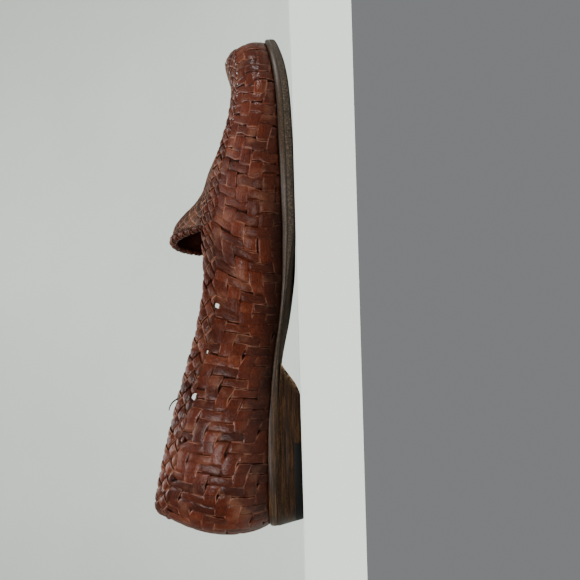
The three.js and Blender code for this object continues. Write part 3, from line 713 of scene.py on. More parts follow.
def woven_leather(name, shades, dark=1.0, gloss=0.3, wear=0.48, polish=0.19):
    """Polished strips: mottled, creased across, pale along worn edges, with painted shade where they dive,
    between them and along the sole.
    """
    n = Nodes(name)
    where = n.place()
    foot = n.value("foot")
    mottle = n.noise(where, 700.0, 5.0, 0.72)
    creases = crease_noise(n)
    colour = strip_colour(n, where, mottle, creases, shades, dark)
    colour = n.mix(edge_wear(n, where, wear), colour, tint(*WORN_EDGE, dark))
    # Painted shade in the gaps between strips and where a strip dives under its neighbours.
    crevice_shade = n.most(n.ramp(n.value("edge"), (0.88, 0.0), (0.96, 0.95)), n.value("low"))
    colour = n.mix(n.times(crevice_shade, 0.92), colour, tint(*CREVICE_SHADE))
    # Painted shade along the sole, most of all at the waist.
    n.set(Base_Color=n.mix(n.times(foot, 0.9), colour, tint(*FOOT_SHADE)))
    n.set(Roughness=n.plus(gloss, n.times(mottle, 0.3)), Specular_IOR_Level=0.06, Coat_Roughness=0.14)
    shine = n.minus(1.0, n.most(crevice_shade, n.times(foot, 0.85)), clamp=True)
    n.set(Coat_Weight=n.times(n.times(shine, polish), coat_share(n, where)))
    pores = n.noise(where, 900.0, 5.0, 0.7)
    normal = n.bump(n.noise(where, 2600.0, 3.0, 0.6), 0.4, 0.0003)
    normal = n.bump(pores, 0.7, 0.001, normal)
    n.set(Normal=n.bump(creases, 0.7, 0.001, normal), Coat_Normal=n.bump(pores, 0.3, 0.0005))
    return n.material


def streaks(n):
    """Layers of leather seen from the side."""
    return n.noise(n.place((1.0, 1.0, 22.0)), 55.0, 5.0, 0.7)


def sole_edge_colour(n, down, speckle, smear):
    """A polished upper band, a groove and a rougher lower part. The dark top under the upper, the dark groove
    and the dark bottom corner are painted shade; the upper band's lighter middle is partly its own colour and
    partly painted sheen.
    """
    colour = n.ramp(
        down,
        (0.0, tint(24, 16, 11)),
        (0.06, tint(36, 27, 20)),
        (0.12, tint(48, 37, 28)),
        (0.24, tint(63, 48, 36)),
        (0.37, tint(54, 41, 30)),
        (0.44, tint(30, 23, 17)),
        (0.54, tint(53, 43, 33)),
        (0.86, tint(51, 41, 31)),
        (0.96, tint(20, 16, 14)),
    )
    coarse = n.ramp(down, (0.3, 0.34), (0.5, 0.8))
    marks = n.ramp(speckle, (0.42, (0.12, 0.1, 0.08)), (0.5, (0.6, 0.57, 0.53)), (0.58, (3.2, 3.0, 2.7)))
    colour = n.mix(coarse, colour, marks, "MULTIPLY")
    return n.mix(n.times(smear, 0.35), colour, tint(42, 35, 27))


def sole_leather():
    n = Nodes("sole leather")
    where = n.place()
    down = n.value("down")
    streak = streaks(n)
    speckle = n.noise(where, 1050.0, 4.0, 0.82)
    smear = n.noise(where, 90.0, 4.0, 0.6)
    shade = n.plus(n.times(streak, 0.7), n.times(speckle, 0.3))
    heel_colour = n.ramp(shade, (0.38, tint(16, 9, 5)), (0.5, tint(46, 29, 16)), (0.62, tint(84, 59, 36)))
    colour = n.mix(n.value("heel"), sole_edge_colour(n, down, speckle, smear), heel_colour)
    scuffs = n.noise(n.place((1.0, 4.0, 1.0)), 70.0, 5.0, 0.7)
    under = n.ramp(scuffs, (0.25, tint(44, 33, 25)), (0.55, tint(88, 67, 48)), (0.8, tint(126, 101, 76)))
    n.set(Base_Color=n.mix(n.value("under"), colour, under), Specular_IOR_Level=0.22)
    polished = n.ramp(down, (0.42, 0.2), (0.5, 0.5))
    n.set(Roughness=n.plus(polished, n.times(smear, 0.3)))
    n.set(Normal=n.bump(n.plus(speckle, streak), 0.3, 0.0003))
    return n.material


TICK_LENGTH = 1.15  # from one tooth of the wheel's marks to the next


def heel_leather():
    n = Nodes("heel leather")
    where = n.place()
    streak = streaks(n)
    fine = n.noise(n.place((1.0, 1.0, 14.0)), 380.0, 3.0, 0.6)
    shade = n.plus(n.times(streak, 0.6), n.times(fine, 0.4))
    colour = n.ramp(shade, (0.38, tint(12, 6, 3)), (0.5, tint(39, 23, 11)), (0.62, tint(78, 52, 29)))
    colour = n.mix(n.times(n.noise(where, 60.0), 0.4), colour, tint(26, 15, 8))
    scuff = n.ramp(n.noise(where, 420.0, 5.0, 0.7), (0.42, 0.0), (0.58, 1.0))
    near_front = n.times(n.value("front"), scuff)
    n.set(Base_Color=n.mix(n.times(near_front, 0.75), colour, tint(160, 132, 98)))
    n.set(Roughness=n.plus(0.3, n.times(fine, 0.35)), Specular_IOR_Level=0.06)
    n.set(Coat_Weight=0.03, Coat_Roughness=0.3)
    turn = n.times(n.value("along"), 2 * math.pi / TICK_LENGTH)
    tick = n.times(n.math("SINE", turn), n.value("tick"))
    n.set(Normal=n.bump(tick, 0.6, 0.0004, n.bump(n.plus(fine, streak), 0.3, 0.0002)))
    return n.material


def rubber():
    n = Nodes("heel rubber")
    where = n.place()
    dust = n.noise(where, 240.0, 4.0, 0.65)
    n.set(Base_Color=n.ramp(dust, (0.35, tint(3, 3, 2)), (0.65, tint(10, 10, 8)), (0.85, tint(38, 37, 32))))
    n.set(Roughness=n.plus(0.5, n.times(dust, 0.3)), Specular_IOR_Level=0.14)
    n.set(Normal=n.bump(n.noise(where, 1500.0), 0.3, 0.0002))
    return n.material


def insole_leather():
    n = Nodes("insole leather")
    where = n.place()
    wear = n.noise(where, 28.0, 4.0, 0.6)
    colour = n.ramp(wear, (0.3, tint(84, 52, 34)), (0.55, tint(128, 84, 56)), (0.8, tint(150, 104, 72)))
    n.set(Base_Color=colour, Roughness=n.plus(0.4, n.times(wear, 0.25)))
    n.set(Normal=n.bump(n.noise(where, 1400.0, 3.0, 0.6), 0.25, 0.0002))
    return n.material


lengthwise_leather = woven_leather("lengthwise strip leather", WARM)
upright_leather = woven_leather("upright strip leather", DULL)
plait_leather = woven_leather("plaited leather", DULL, wear=0.6, polish=0.3)
apron_leather = woven_leather("apron leather", OLIVE, gloss=0.45, wear=0.7)
lining_leather = woven_leather("lining leather", DULL, dark=0.8, gloss=0.5)
sole_finish = sole_leather()
heel_finish = heel_leather()
rubber_finish = rubber()
insole_finish = insole_leather()

# The side weave: over two and under two behind its change, in front over two and under one.
SECTION = np.concatenate([HALF_SECTION, HALF_SECTION[-2::-1] * (-1, 1, 1)]) * (1, STRIP_THICK, 1)
SECTION_PLACE, SECTION_RISE, SECTION_EDGE = SECTION.T
RIBBON_PLACE, RIBBON_RISE, RIBBON_EDGE = SECTION[1:-1].T
STRIP_STATION = sole_edge(np.arange(STRIPS) + 0.5)[:, 0]


def swing(place, level):
    """A value along a strip's length: its level at each crossing, easing between them."""
    cell = np.floor(place)
    part = place - cell
    here = level(cell)
    first = blend(level(cell - 1), here, ease(part, -0.5, 0.5))
    last = blend(here, level(cell + 1), ease(part, 0.5, 1.5))
    return np.where(part < 0.5, first, last)


def lengthwise_over(strip, row):
    """Where the strip along the shoe lies on top. Each row's block lies one upright strip further on."""
    strip = np.mod(np.asarray(strip, int), STRIPS)
    repeat = np.where(STRIP_STATION[strip] < WEAVE_CHANGE, REPEAT_BACK, REPEAT_FRONT)
    return np.mod(np.asarray(row, int) - strip, repeat) >= 2


def gap_places():
    """Places beside the collar's plait where a block ends."""
    ends = [strip + GAP_PLACE for strip in range(STRIPS)
            if lengthwise_over(strip, 1) and not lengthwise_over(strip + 1, 1)]
    return [ring for ring in ends if RIM_BACK + GAP_MARGIN < rim_point(ring)[0] < THROAT - GAP_MARGIN]


GAPS = gap_places()
GAP_WIDE = {ring: GAP_WIDEST * rng.uniform(0.35, 1.0) for ring in GAPS}
for seen, size in GAPS_SEEN:
    GAP_WIDE[min(GAPS, key=lambda ring: abs(ring - seen))] = GAP_WIDEST * size


def near_gap(ring):
    """1 in the middle of a gap, less beside it."""
    return sum(np.exp(-((ring - gap) / (GAP_BELL * GAP_WIDE[gap])) ** 2) for gap in GAPS)


def beside_gaps(ring, middle, depth):
    """An upright strip drawn in where it borders a gap."""
    near = np.exp(-((depth - (GAP_TOP + GAP_DEEP) / 2) / (GAP_DEEP - GAP_TOP) * GAP_FADE) ** 4)
    for gap in GAPS:
        if abs(gap - middle) < 1:
            side = math.copysign(1.0, gap - middle)
            past = np.maximum(side * (ring - (gap - side * GAP_WIDE[gap])), 0)
            ring = ring - side * past * near
    return ring


def in_front(station):
    """From the weave behind, 0, to the flatter one in front, 1."""
    return ease(station, *STRIPS_CHANGE)


def weave_level(up, front):
    """A strip's height from the wall's outer face."""
    return blend(*WEAVE_MIDDLE, front) + blend(*STRIP_SWING, front) * up


def painted_foot_shade(depth, deepest, station):
    """Painted shade along the sole, most of all at the waist."""
    return foot_dark(station) * (1 - ease(deepest - depth, 0, FOOT_TALL))


def diving(up):
    """How far a strip has gone down under its neighbours, 0 on top."""
    return 1 - ease(up, *DIVE)


def wave(depth, length):
    return np.sin(depth / length + rng.uniform(0, PHASES))


def upright_strip(sheet, strip):
    station = STRIP_STATION[strip]
    front = in_front(station)
    deepest = float(wall_depth(strip + 0.5))
    depth = np.arange(UPRIGHT_TOP, deepest + UPRIGHT_PAST, UPRIGHT_STEP)[:, None]
    rows = depth / STRIP_WIDTH
    up = swing(rows, lambda row: np.where(lengthwise_over(strip, row), -1.0, 1.0))
    up = np.tanh(STEEPNESS * up + UPRIGHT_RAISE)
    pushed = swing(rows, lambda row: 1.0 * lengthwise_over(strip - 1, row) - lengthwise_over(strip + 1, row))
    wobble = UPRIGHT_WANDER * wave(depth, WANDER_LENGTH) + rng.normal(0, UPRIGHT_ASTRAY)
    half = blend(*UPRIGHT_SHARE, front) * (1 + rng.normal(0, UPRIGHT_UNEVEN))
    half = half * (1 + UPRIGHT_UNEVEN * wave(depth, UNEVEN_LENGTH))
    half = half * (1 + OVER_SPREAD * up * (1 - front) + UNDER_SPREAD * front * np.maximum(-up, 0))
    tilt = rng.normal(0, UPRIGHT_TILT) * wave(depth, TILT_LENGTH)
    middle = strip + 0.5 + wobble + blend(*STRIP_PUSH, front) * pushed
    ring = beside_gaps(middle + half * SECTION_PLACE, strip + 0.5, depth)
    lift = weave_level(up, front) + SECTION_RISE + tilt * SECTION_PLACE
    sheet.strip(wall(ring, depth, lift), rng.uniform(*UPRIGHT_TONES), SECTION_EDGE, diving(up),
                painted_foot_shade(depth, deepest, station), half * SECTION_PLACE * PITCH_FRONT, depth)


def upright_strips():
    sheet = Sheet("upright_strips")
    for strip in range(STRIPS):
        upright_strip(sheet, strip)
    sheet.build(upright_leather, "upper")


SCATTER = (12.9898, 78.233, 43758.5453)  # uneven numbers, so that neighbours get unlike values


def scatter(strip, row):
    """A number from 0 to 1 for each block."""
    value = np.sin(strip * SCATTER[0] + row * SCATTER[1]) * SCATTER[2]
    return value - np.floor(value)


def lengthwise_strip(sheet, row, ring, phase, shade):
    station = sole_edge(ring[:, 0])[:, :1]
    front = in_front(station)
    ahead = ease(station, *SLANT_GOES)
    up = swing(ring, lambda strip: np.where(lengthwise_over(strip, row), 1.0, -1.0))
    up = np.tanh(STEEPNESS * up + LENGTHWISE_RAISE + LENGTHWISE_RAISE_FRONT * front)
    turn = ring * 2 * math.pi / STRIPS
    wobble = sum(far * np.sin(turn * times + start) for (far, times), start in zip(LENGTHWISE_WAVES, phase))
    place = np.mod(row - ring, REPEAT_BACK)
    wobble = wobble + BLOCK_SLANT * (1 - ahead) * np.where(place >= 2, place - 3, 1 - place)
    half = STRIP_WIDTH * LENGTHWISE_SHARE * (1 + LENGTHWISE_UNEVEN * np.sin(turn * UNEVEN_TIMES + phase[2]))
    half = half * (1 + OVER_SPREAD * up) + blend(*BLOCK_SPREAD, ahead) * np.maximum(up, 0)
    depth = (row + 0.5) * STRIP_WIDTH + wobble + half * SECTION_PLACE
    if row == 0:
        depth = depth + (GAP_DEEP + GAP_CLEAR) * near_gap(ring) * np.maximum(-SECTION_PLACE, 0)
    own = scatter(np.floor(ring).astype(int) % STRIPS, row)
    tone = blend(shade, own, BLOCK_TONE)
    lift = weave_level(up, front) + SECTION_RISE
    sheet.strip(wall(ring, depth, lift), tone, SECTION_EDGE, diving(up),
                painted_foot_shade(depth, wall_depth(ring), station), half * SECTION_PLACE, ring * PITCH_FRONT)


def lengthwise_strips():
    sheet = Sheet("lengthwise_strips")
    rings = np.arange(0, STRIPS + LENGTHWISE_STEP / 2, LENGTHWISE_STEP)
    deepest = wall_depth(rings)
    for row in range(math.ceil(deepest.max() / STRIP_WIDTH)):
        present = deepest > row * STRIP_WIDTH + 0.5
        starts = np.flatnonzero(present & ~np.concatenate([[False], present[:-1]]))
        ends = np.flatnonzero(present & ~np.concatenate([present[1:], [False]]))
        phase = rng.uniform(0, PHASES, 4)
        shade = rng.uniform(*LENGTHWISE_TONES)
        for first, last in zip(starts, ends):
            lengthwise_strip(sheet, row, rings[max(first - 3, 0):last + 4][:, None], phase, shade)
    sheet.build(lengthwise_leather, "upper", flip=True)


# The plait: ribbons on the slant, over the collar's edge and round the apron.
def rolled_edge(rim, normal, up, past):
    """A place past the rim, round the wall's edge and down its other face, and the normal there."""
    radius = WALL / 2
    angle = np.minimum(past / radius, math.pi)[..., None]
    over = np.maximum(past - math.pi * radius, 0)[..., None]
    facing = normal * np.cos(angle) + up * np.sin(angle)
    return rim - normal * radius + facing * radius - up * over, facing


def apron_flap(rim, normal, past):
    """A place past the rim where the band lies on the apron, and the normal there."""
    station = rim[..., 0]
    from_axis = rim[..., 1] - foot_axis(station)
    toe = ease(station, *TOE_TURN)
    slope = apron_crown(station) * 2.0 / np.maximum(np.abs(from_axis), FLAP_NARROWEST)
    slope = np.minimum(slope, FLAP_STEEPEST)
    inward = unit(np.stack([-toe, -np.sign(from_axis) * (1 - toe * 0.8), slope], -1))
    facing = unit(np.cross(inward, np.cross(normal, inward)))
    facing = facing * np.sign(np.sum(facing * normal, -1, keepdims=True))
    return rim + inward * past[..., None], facing


def band(ring, across):
    """A point of the plaited band and its normal, a distance below the rim, or above it over the edge."""
    ring, across = arrays(ring, across)
    top = -by_ring(wall_braid, ring)
    share = by_ring(wall_apron, ring)[..., None]
    below = top + np.maximum(across, 0)
    base = wall(ring, below)
    rim = wall(ring, top)
    rim_normal = wall(ring, top, 1.0) - rim
    past = np.maximum(-across, 0)
    edge, edge_normal = rolled_edge(rim, rim_normal, unit(rim - wall(ring, top + 1.0)), past)
    flap, flap_normal = apron_flap(rim, rim_normal, past)
    above = (across < 0)[..., None]
    point = np.where(above, blend(edge, flap, share), base)
    return point, unit(np.where(above, blend(edge_normal, flap_normal, share), wall(ring, below, 1.0) - base))


# Places along a plait are counted in its diamonds.
def plait(sheet, frame_of, count, low_of, high_of, closed):
    """Two sets of ribbons on the slant, over and under each other in turn, on a backing painted in shade; a
    ribbon is painted in shade where it lies below.
    """
    steps, columns = BACKING_GRID
    along = np.linspace(0, count, count * steps + 1)[:, None]
    across = low_of(along) + (high_of(along) - low_of(along)) * np.linspace(*BACKING, columns)
    point, normal = frame_of(along, across)
    # The backing is painted in full crevice shade.
    sheet.strip(point - BACKING_DEEP * normal, 0.0, 1.0, 1.0)
    for way in (1, -1):
        for k in range(count if closed else count + 2):
            start = k if closed else k - 0.5
            low = low_of(start)
            high = high_of(start)
            across = np.linspace(low, high, RIBBON_STEPS)[:, None]
            row = (across - high / 2) / PLAIT_WIDE
            half = RIBBON_SHARE * (1 + rng.normal(0, RIBBON_WIDTHS))
            off = half * RIBBON_PLACE * (1 + RIBBON_UNEVEN * np.sin(across + k))
            along = start + rng.normal(0, RIBBON_ASTRAY) + way * row + off
            if not closed:
                along = np.clip(along, 0, count)
            up = np.tanh(RIBBON_STEEPNESS * way * np.cos(math.pi * (2 * row + way * off)))
            ends = np.minimum((high - across) / RIBBON_END, 1) * np.minimum((across - low) / RIBBON_END, 1)
            lift = RIBBON_LIFT + RIBBON_SWING * up + RIBBON_RISE * RIBBON_ROUND - RIBBON_DROP * (1 - ends)
            point, normal = frame_of(along, across)
            # Painted shade where the ribbon lies below.
            dark = np.clip(-RIBBON_DARK * up, 0, 1)
            sheet.strip(point + normal * lift[..., None], rng.uniform(*RIBBON_TONES), RIBBON_EDGE, dark, 0.0,
                        half * RIBBON_PLACE * PLAIT_WIDE, RIBBON_SLANT * across)


def loose_end(sheet):
    """A frayed end that sticks out of the collar's plait on the inner side."""
    rim = rim_point(np.linspace(HALF, STRIPS, 2001))
    root = rim[np.argmin(np.abs(rim[:, 0] - LOOSE_END_STATION))]
    t = np.linspace(0, 1, 15)
    back = LOOSE_END_BACK * t ** 1.7
    rise = LOOSE_END_RISE * (1 - (1 - t) ** 1.6)
    middle = root + np.stack([-back, -LOOSE_END_OUT * t, rise], -1)
    side = np.array([0.0, 1.0, 0.0])
    across = np.cross(unit(np.gradient(middle, axis=0)), side)
    turn = np.linspace(0, 2 * math.pi, 7)[:, None]
    radius = LOOSE_END_THICK / 2 * (1 - 0.5 * t)
    around = across[:, None] * np.cos(turn) + side * np.sin(turn)
    # Painted shade darkens it like a crevice and the weave's foot.
    sheet.strip(middle[:, None] + around * radius[:, None, None], 0.1, low=1.0, foot=0.6)


def rim_braid():
    sheet = Sheet("plaited_band")
    rings = np.linspace(0, STRIPS, 4001)
    repeat = blend(*PLAIT_LONG, by_ring(wall_apron, rings))
    places = running_length(rim_point(rings), repeat[1:])
    count = round(places[-1])
    places = places * count / places[-1]

    def ring_of(along):
        return np.interp(np.mod(along, count), places, rings)

    def low_of(along):
        return blend(*PLAIT_TOP, by_ring(wall_apron, ring_of(along)))

    def high_of(along):
        ring = ring_of(along)
        return by_ring(wall_braid, ring) + PLAIT_BELOW + PLAIT_BELOW_APRON * by_ring(wall_apron, ring)

    def frame_of(along, across):
        ring = ring_of(along)
        notch = (PLAIT_BELOW - GAP_TOP) * np.minimum(near_gap(ring), 1)
        return band(ring, np.minimum(across, high_of(along) - notch))

    plait(sheet, frame_of, count, low_of, high_of, True)
    loose_end(sheet)
    sheet.build(plait_leather, "upper")


def tab_braid():
    """The plait along the tab's rear edge."""
    sheet = Sheet("tab_plait")
    across_fine = np.linspace(-1, 1, 801)
    length = running_length(apron(THROAT_RING, across_fine))
    count = round(length[-1] / PLAIT_TAB)

    def frame_of(along, across):
        at = np.interp(np.clip(along / count, 0, 1) * length[-1], length, across_fine)
        at, across = arrays(at, across)
        ring = THROAT_RING + np.maximum(across, 0) / THROAT_PITCH
        base = apron(ring, at)
        rim = apron(THROAT_RING, at)
        rim_normal = apron_lifted(THROAT_RING, at, 1.0) - rim
        back = unit(rim - apron(THROAT_RING + 0.3, at))
        edge, edge_normal = rolled_edge(rim, rim_normal, back, np.maximum(-across, 0))
        above = (across < 0)[..., None]
        facing = np.where(above, edge_normal, apron_lifted(ring, at, 1.0) - base)
        return np.where(above, edge, base), unit(facing)

    plait(sheet, frame_of, count, lambda along: PLAIT_ON_TAB[0], lambda along: PLAIT_ON_TAB[1], False)
    sheet.build(plait_leather, "upper")


def apron_grid(rows, columns):
    return np.linspace(THROAT_RING, APRON_END, rows)[:, None], np.linspace(-1, 1, columns)


def apron_strip(sheet, station, side, way, k):
    tone = rng.uniform(*APRON_TONES)
    half = APRON_PITCH * APRON_SHARE
    turn = half * RIBBON_PLACE / DIAGONAL
    length = station[:, None] * DIAGONAL
    station = station[:, None] + turn
    side = side[:, None] - way * turn
    ring, across, _ = apron_place(station, side)
    crossing = (side + way * (station - THROAT - APRON_START)) / (APRON_PITCH * DIAGONAL)
    up = np.tanh(RIBBON_STEEPNESS * way * np.cos(math.pi * crossing)) * (-1) ** k
    lift = APRON_MIDDLE + APRON_SWING * up + RIBBON_RISE * APRON_FLAT
    # Painted shade where a strip lies below.
    sheet.strip(apron_lifted(ring, np.clip(across, -1, 1), lift), tone, RIBBON_EDGE,
                np.clip(-up, 0, 1) * RIBBON_DARK, 0.0, half * RIBBON_PLACE, length)


def apron_weave():
    """The apron's own weave: two sets of narrow strips on the slant, on a backing."""
    sheet = Sheet("apron_weave")
    station = np.arange(THROAT - 6, RIM_TOE - 0.6, APRON_STEP)
    for way in (1, -1):
        for k in APRON_STRIPS:
            side = way * (station - THROAT) + k * APRON_PITCH * DIAGONAL - way * APRON_START
            ring, across, width = apron_place(station, side)
            inside = (np.abs(across) < APRON_EDGE) & (ring >= THROAT_RING) & (width > APRON_NARROWEST)
            inside = np.flatnonzero(inside)
            for run in np.split(inside, np.flatnonzero(np.diff(inside) > 1) + 1):
                if len(run) >= APRON_SHORTEST:
                    apron_strip(sheet, station[run], side[run], way, k)
    # The backing gets a little painted shade.
    sheet.strip(apron_lifted(*apron_grid(*APRON_GRID), APRON_BACKING), 0.3, low=0.2)
    sheet.build(apron_leather, "upper")


# The inside of the upper, dark and woven, with painted shade in its seams and at its foot on the sole
LINING_COLUMNS = 6  # for each upright strip
LINING_ROWS = (11, 5, 49)  # points down above the gaps, beside them and below
LINING_APRON_GRID = (70, 41)
LINING_LIFT = 0.3
LINING_APRON = 0.25
FOOT_INSETS = (0.3, 2.6, 7.0)  # the lining's foot lies on the sole, in from the feather line
FOOT_LIFT = 0.15


def lining_part(sheet, first, last, top, foot, count):
    ring = np.linspace(first, last, max(int((last - first) * LINING_COLUMNS), 2))[:, None]
    depth = blend(top(ring), foot(ring), np.linspace(0, 1, count))
    row = depth / STRIP_WIDTH
    over = np.where(lengthwise_over(np.floor(ring), np.floor(row)), 1.0, -1.0)
    along = np.abs(ring - np.floor(ring) - 0.5)
    down = np.abs(row - np.floor(row) - 0.5)
    seam = np.maximum(ease(along, 0.3, 0.5), ease(down, 0.36, 0.5))
    points = wall(ring, depth, -WALL + LINING_LIFT * (1 + seam))
    # Painted shade in the seams between cells.
    sheet.strip(points, 0.45 + 0.3 * over, low=0.75 * seam)


def lining():
    sheet = Sheet("lining")
    top = constant(GAP_TOP)
    deep = constant(GAP_DEEP)
    above, beside, below = LINING_ROWS
    lining_part(sheet, 0, STRIPS, lambda ring: -by_ring(wall_braid, ring), top, above)
    lining_part(sheet, 0, STRIPS, deep, wall_depth, below)
    for gap, following in zip(GAPS, GAPS[1:] + GAPS[:1]):
        last = following + (STRIPS if following < gap else 0)
        lining_part(sheet, gap + GAP_WIDE[gap], last - GAP_WIDE[following], top, deep, beside)
    points = apron_lifted(*apron_grid(*LINING_APRON_GRID), -WALL + LINING_APRON)
    sheet.strip(points[:, ::-1], 0.3)
    around = np.arange(0, STRIPS + 0.01, 0.25)
    inset = feather_inset(sole_edge(around)[:, 0])
    plans = [inset_edge(around, inset + further) for further in FOOT_INSETS]
    rows = [with_height(plan, top_of_sole(*plan.T) + FOOT_LIFT) for plan in plans]
    # The lining's foot on the sole is painted in full shade.
    sheet.strip(np.stack(rows, 1), 0.0, low=1.0, foot=1.0)
    sheet.build(lining_leather, "upper")


# Sole and insole
SOLE_STEPS = 300
CAP_COLUMNS = 12
GROOVE_FADE = 0.9  # over the heel the groove is shallower by this share
OVER_HEEL = (82, 108)  # stations over which the heel's look ends
BAND_ROWS = (
    # inset, share of the thickness down, place down the edge for the material
    (1.6, 0.0, 0.0), (0.95, EDGE_SHARE * 0.08, 0.04), (0.55, EDGE_SHARE * 0.22, 0.1),
    (0.25, EDGE_SHARE * 0.42, 0.19),
)
GROOVE_ROWS = (
    # the same. The insets fade over the heel
    (0.05, EDGE_SHARE * 0.66, 0.3), (0.0, EDGE_SHARE * 0.86, 0.4), (0.15, EDGE_SHARE * 0.94, 0.43),
    (0.4, EDGE_SHARE, 0.46), (0.2, EDGE_SHARE + 0.03, 0.49), (0.05, EDGE_SHARE + 0.08, 0.54),
)
BEVEL_DOWN = (0.9, 0.97, 1.0, 1.0)  # places down the edge of the four rows below
BEVEL_UNDER = (0.0, 0.0, 0.5, 0.8)  # and how much they look like the underside
BEVEL_INSET = 0.3
INSOLE_ROUND = ((1.2, 0.0), (0.4, 0.2), (0.0, 0.8))  # inset, drop


def sole_ring(inset, height):
    ring = np.arange(SOLE_STEPS + 1) * STRIPS / SOLE_STEPS
    plan = inset_edge(ring, inset(sole_edge(ring)[:, 0]))
    return with_height(plan, height(*plan.T))


def cross_lines(left, right, columns):
    return blend(left[:, None], right[:, None], np.linspace(0, 1, columns)[:, None])


def cap_grid(points, height):
    """Cross lines between the two sides of a ring, from heel to toe."""
    middle = SOLE_STEPS // 2
    grid = cross_lines(points[:middle + 1], points[:middle - 1:-1], CAP_COLUMNS)
    grid[..., 2] = height(grid[..., 0], grid[..., 1])
    return grid


def over_heel(station):
    return 1 - ease(station, *OVER_HEEL)


def groove(value):
    return lambda station: value * (1 - GROOVE_FADE * over_heel(station))


def part_down(share):
    return lambda s, y: top_of_sole(s, y) - share * sole_thick(s)


def bevel(share, rise=0.0):
    return lambda s, y: floor_of_sole(s, y) + bevel_up(s) * share + rise


def build_outsole():
    sheet = Sheet("outsole_leather")
    rows = [sole_ring(constant(inset), part_down(share)) for inset, share, _ in BAND_ROWS]
    rows += [sole_ring(groove(inset), part_down(share)) for inset, share, _ in GROOVE_ROWS]
    rows += [
        sole_ring(constant(0.1), bevel(1.0, 0.5)),
        sole_ring(constant(BEVEL_INSET), bevel(1.0)),
        sole_ring(lambda s: BEVEL_INSET + 0.5 * (bevel_in(s) - BEVEL_INSET), bevel(0.35)),
        sole_ring(bevel_in, floor_of_sole),
    ]
    down = [place for _, _, place in BAND_ROWS + GROOVE_ROWS] + list(BEVEL_DOWN)
    under = np.zeros(len(rows))
    under[-4:] = BEVEL_UNDER
    grid = np.stack(rows, 1)
    heel = over_heel(grid[..., 0])
    sheet.grid(grid, down=down, under=under * (1 - heel), heel=heel)
    sheet.grid(cap_grid(rows[-1], floor_of_sole), down=1.0, under=1.0, heel=0.0)
    sheet.grid(cap_grid(rows[0], top_of_sole)[:, ::-1], down=0.0, under=0.0, heel=0.0)
    sheet.build(sole_finish, "outsole", flip=True)


def build_insole():
    sheet = Sheet("insole_sock")

    def inset(extra):
        return lambda s: feather_inset(s) + WALL + INSOLE_CLEAR + extra

    def seat(rise):
        return lambda s, y: top_of_sole(s, y) + INSOLE_GAP + rise

    rows = [sole_ring(inset(extra), seat(INSOLE_THICK - drop)) for extra, drop in INSOLE_ROUND]
    rows += [sole_ring(inset(0.0), seat(0))]
    sheet.grid(np.stack(rows, 1))
    sheet.grid(cap_grid(rows[0], seat(INSOLE_THICK))[:, ::-1])
    sheet.grid(cap_grid(rows[-1], seat(0)))
    sheet.build(insole_finish, "insole", flip=True)


# The heel
HEEL_HEIGHT = float(sole_bottom(SOLE_BACK))
HEEL_STEPS = 60
HEEL_CAP_COLUMNS = 6
BREAST_STEP = 0.05
RUBBER_GAP = 0.05
LAYER_GAP = 0.02
LAYER_INSET = 0.06  # the edges of a layer lie this far in
LAYER_ROUND = 0.12
TOP_ROWS = (0.03, 0.2, 0.35, 0.5, 0.65, 0.8, 0.97)  # shares of the top lift's height
TICK_FROM = 0.7  # the wheel's marks start this far below the sole
TICK_TALL = 1.9
TICK_FADE = 0.3
FRONT_WORN = 1.6  # how far the scuffs of the heel's front reach back
LEATHER_WEAR = (
    # height, inset, how far the front is worn back
    (3.0, 0.0, 0.1), (2.0, 0.0, 0.5), (1.2, 0.05, 1.1), (0.5, 0.2, 2.0), (0.0, 0.6, 3.2),
)
RUBBER_ROWS = ((TOP_PIECE, 0.1, 0), (TOP_PIECE - 0.2, 0, 0), (1.0, 0, 0), (0.4, 0.25, 0), (0.0, 0.9, 0))


def breast_at(height, side):
    """The station of the heel's sloped front at a level."""
    station = HEEL_BREAST
    while station < HEEL_BREAST + BREAST_SLOPE * float(height(np.array(station), np.array(0.0))):
        station += BREAST_STEP
    return station - side * BREAST_SKEW


def heel_edge(side, angle, z):
    edge = sole_outline.point(np.full_like(angle, side), angle)
    low = 1 - z / HEEL_HEIGHT
    turned = np.minimum(angle * 2, math.pi / 2)
    edge[:, 1] -= side * HEEL_TAPER_SIDE * low * np.sin(turned)
    edge[:, 0] += HEEL_TAPER_BACK * low * np.cos(turned)
    return edge


def heel_ring(height, inset, worn, front, back):
    """One closed line round a heel layer."""
    sides = []
    start = sole_outline.angle_at(back) if back else 0.0
    level = float(height(np.array(0.0), np.array(0.0)))
    for side in (-1, 1):
        stop = sole_outline.angle_at(front(height, side) - worn)
        edge = heel_edge(side, np.linspace(start, stop, HEEL_STEPS), level)
        edge[:, 1] -= side * inset
        sides.append(edge)
    plan = np.concatenate([sides[0][::-1], sides[1][(0 if back else 1):]])
    ring = with_height(plan, height(*plan.T))
    return np.concatenate([ring, ring[:1]])


def heel_layer(name, front, back, levels, material, slot, node, tick_from=None):
    """A heel layer through levels of height, inset and wear of the front: sides, breast and two ends."""
    sheet = Sheet(name)
    rows = [heel_ring(*level, front, back) for level in levels]
    grid = np.stack(rows, 1)
    drop = rows[0][:, None, 2] - grid[..., 2]
    tick = np.zeros(grid.shape[:2])
    if tick_from is not None:
        tick_to = tick_from + TICK_TALL
        tick = ease(drop, tick_from - TICK_FADE, tick_from)
        tick = tick * (1 - ease(drop, tick_to, tick_to + TICK_FADE))
        tick[-2:] = 0
    forward = np.exp((grid[..., 0] - grid[..., 0].max(0, keepdims=True)) / FRONT_WORN)
    sheet.grid(grid, along=running_length(rows[0])[:, None], tick=tick, front=forward)
    for row, way in ((rows[0], -1), (rows[-1], 1)):
        points = row[:-1]
        pairs = len(points) // 2
        cap = cross_lines(points[:pairs], points[::-1][:pairs], HEEL_CAP_COLUMNS)
        sheet.grid(cap[:, ::way], along=0.0, tick=0.0, front=0.3)
    sheet.build(material, node, flip=True)


def flat_levels(rows):
    return [(constant(z), inset, worn) for z, inset, worn in rows]


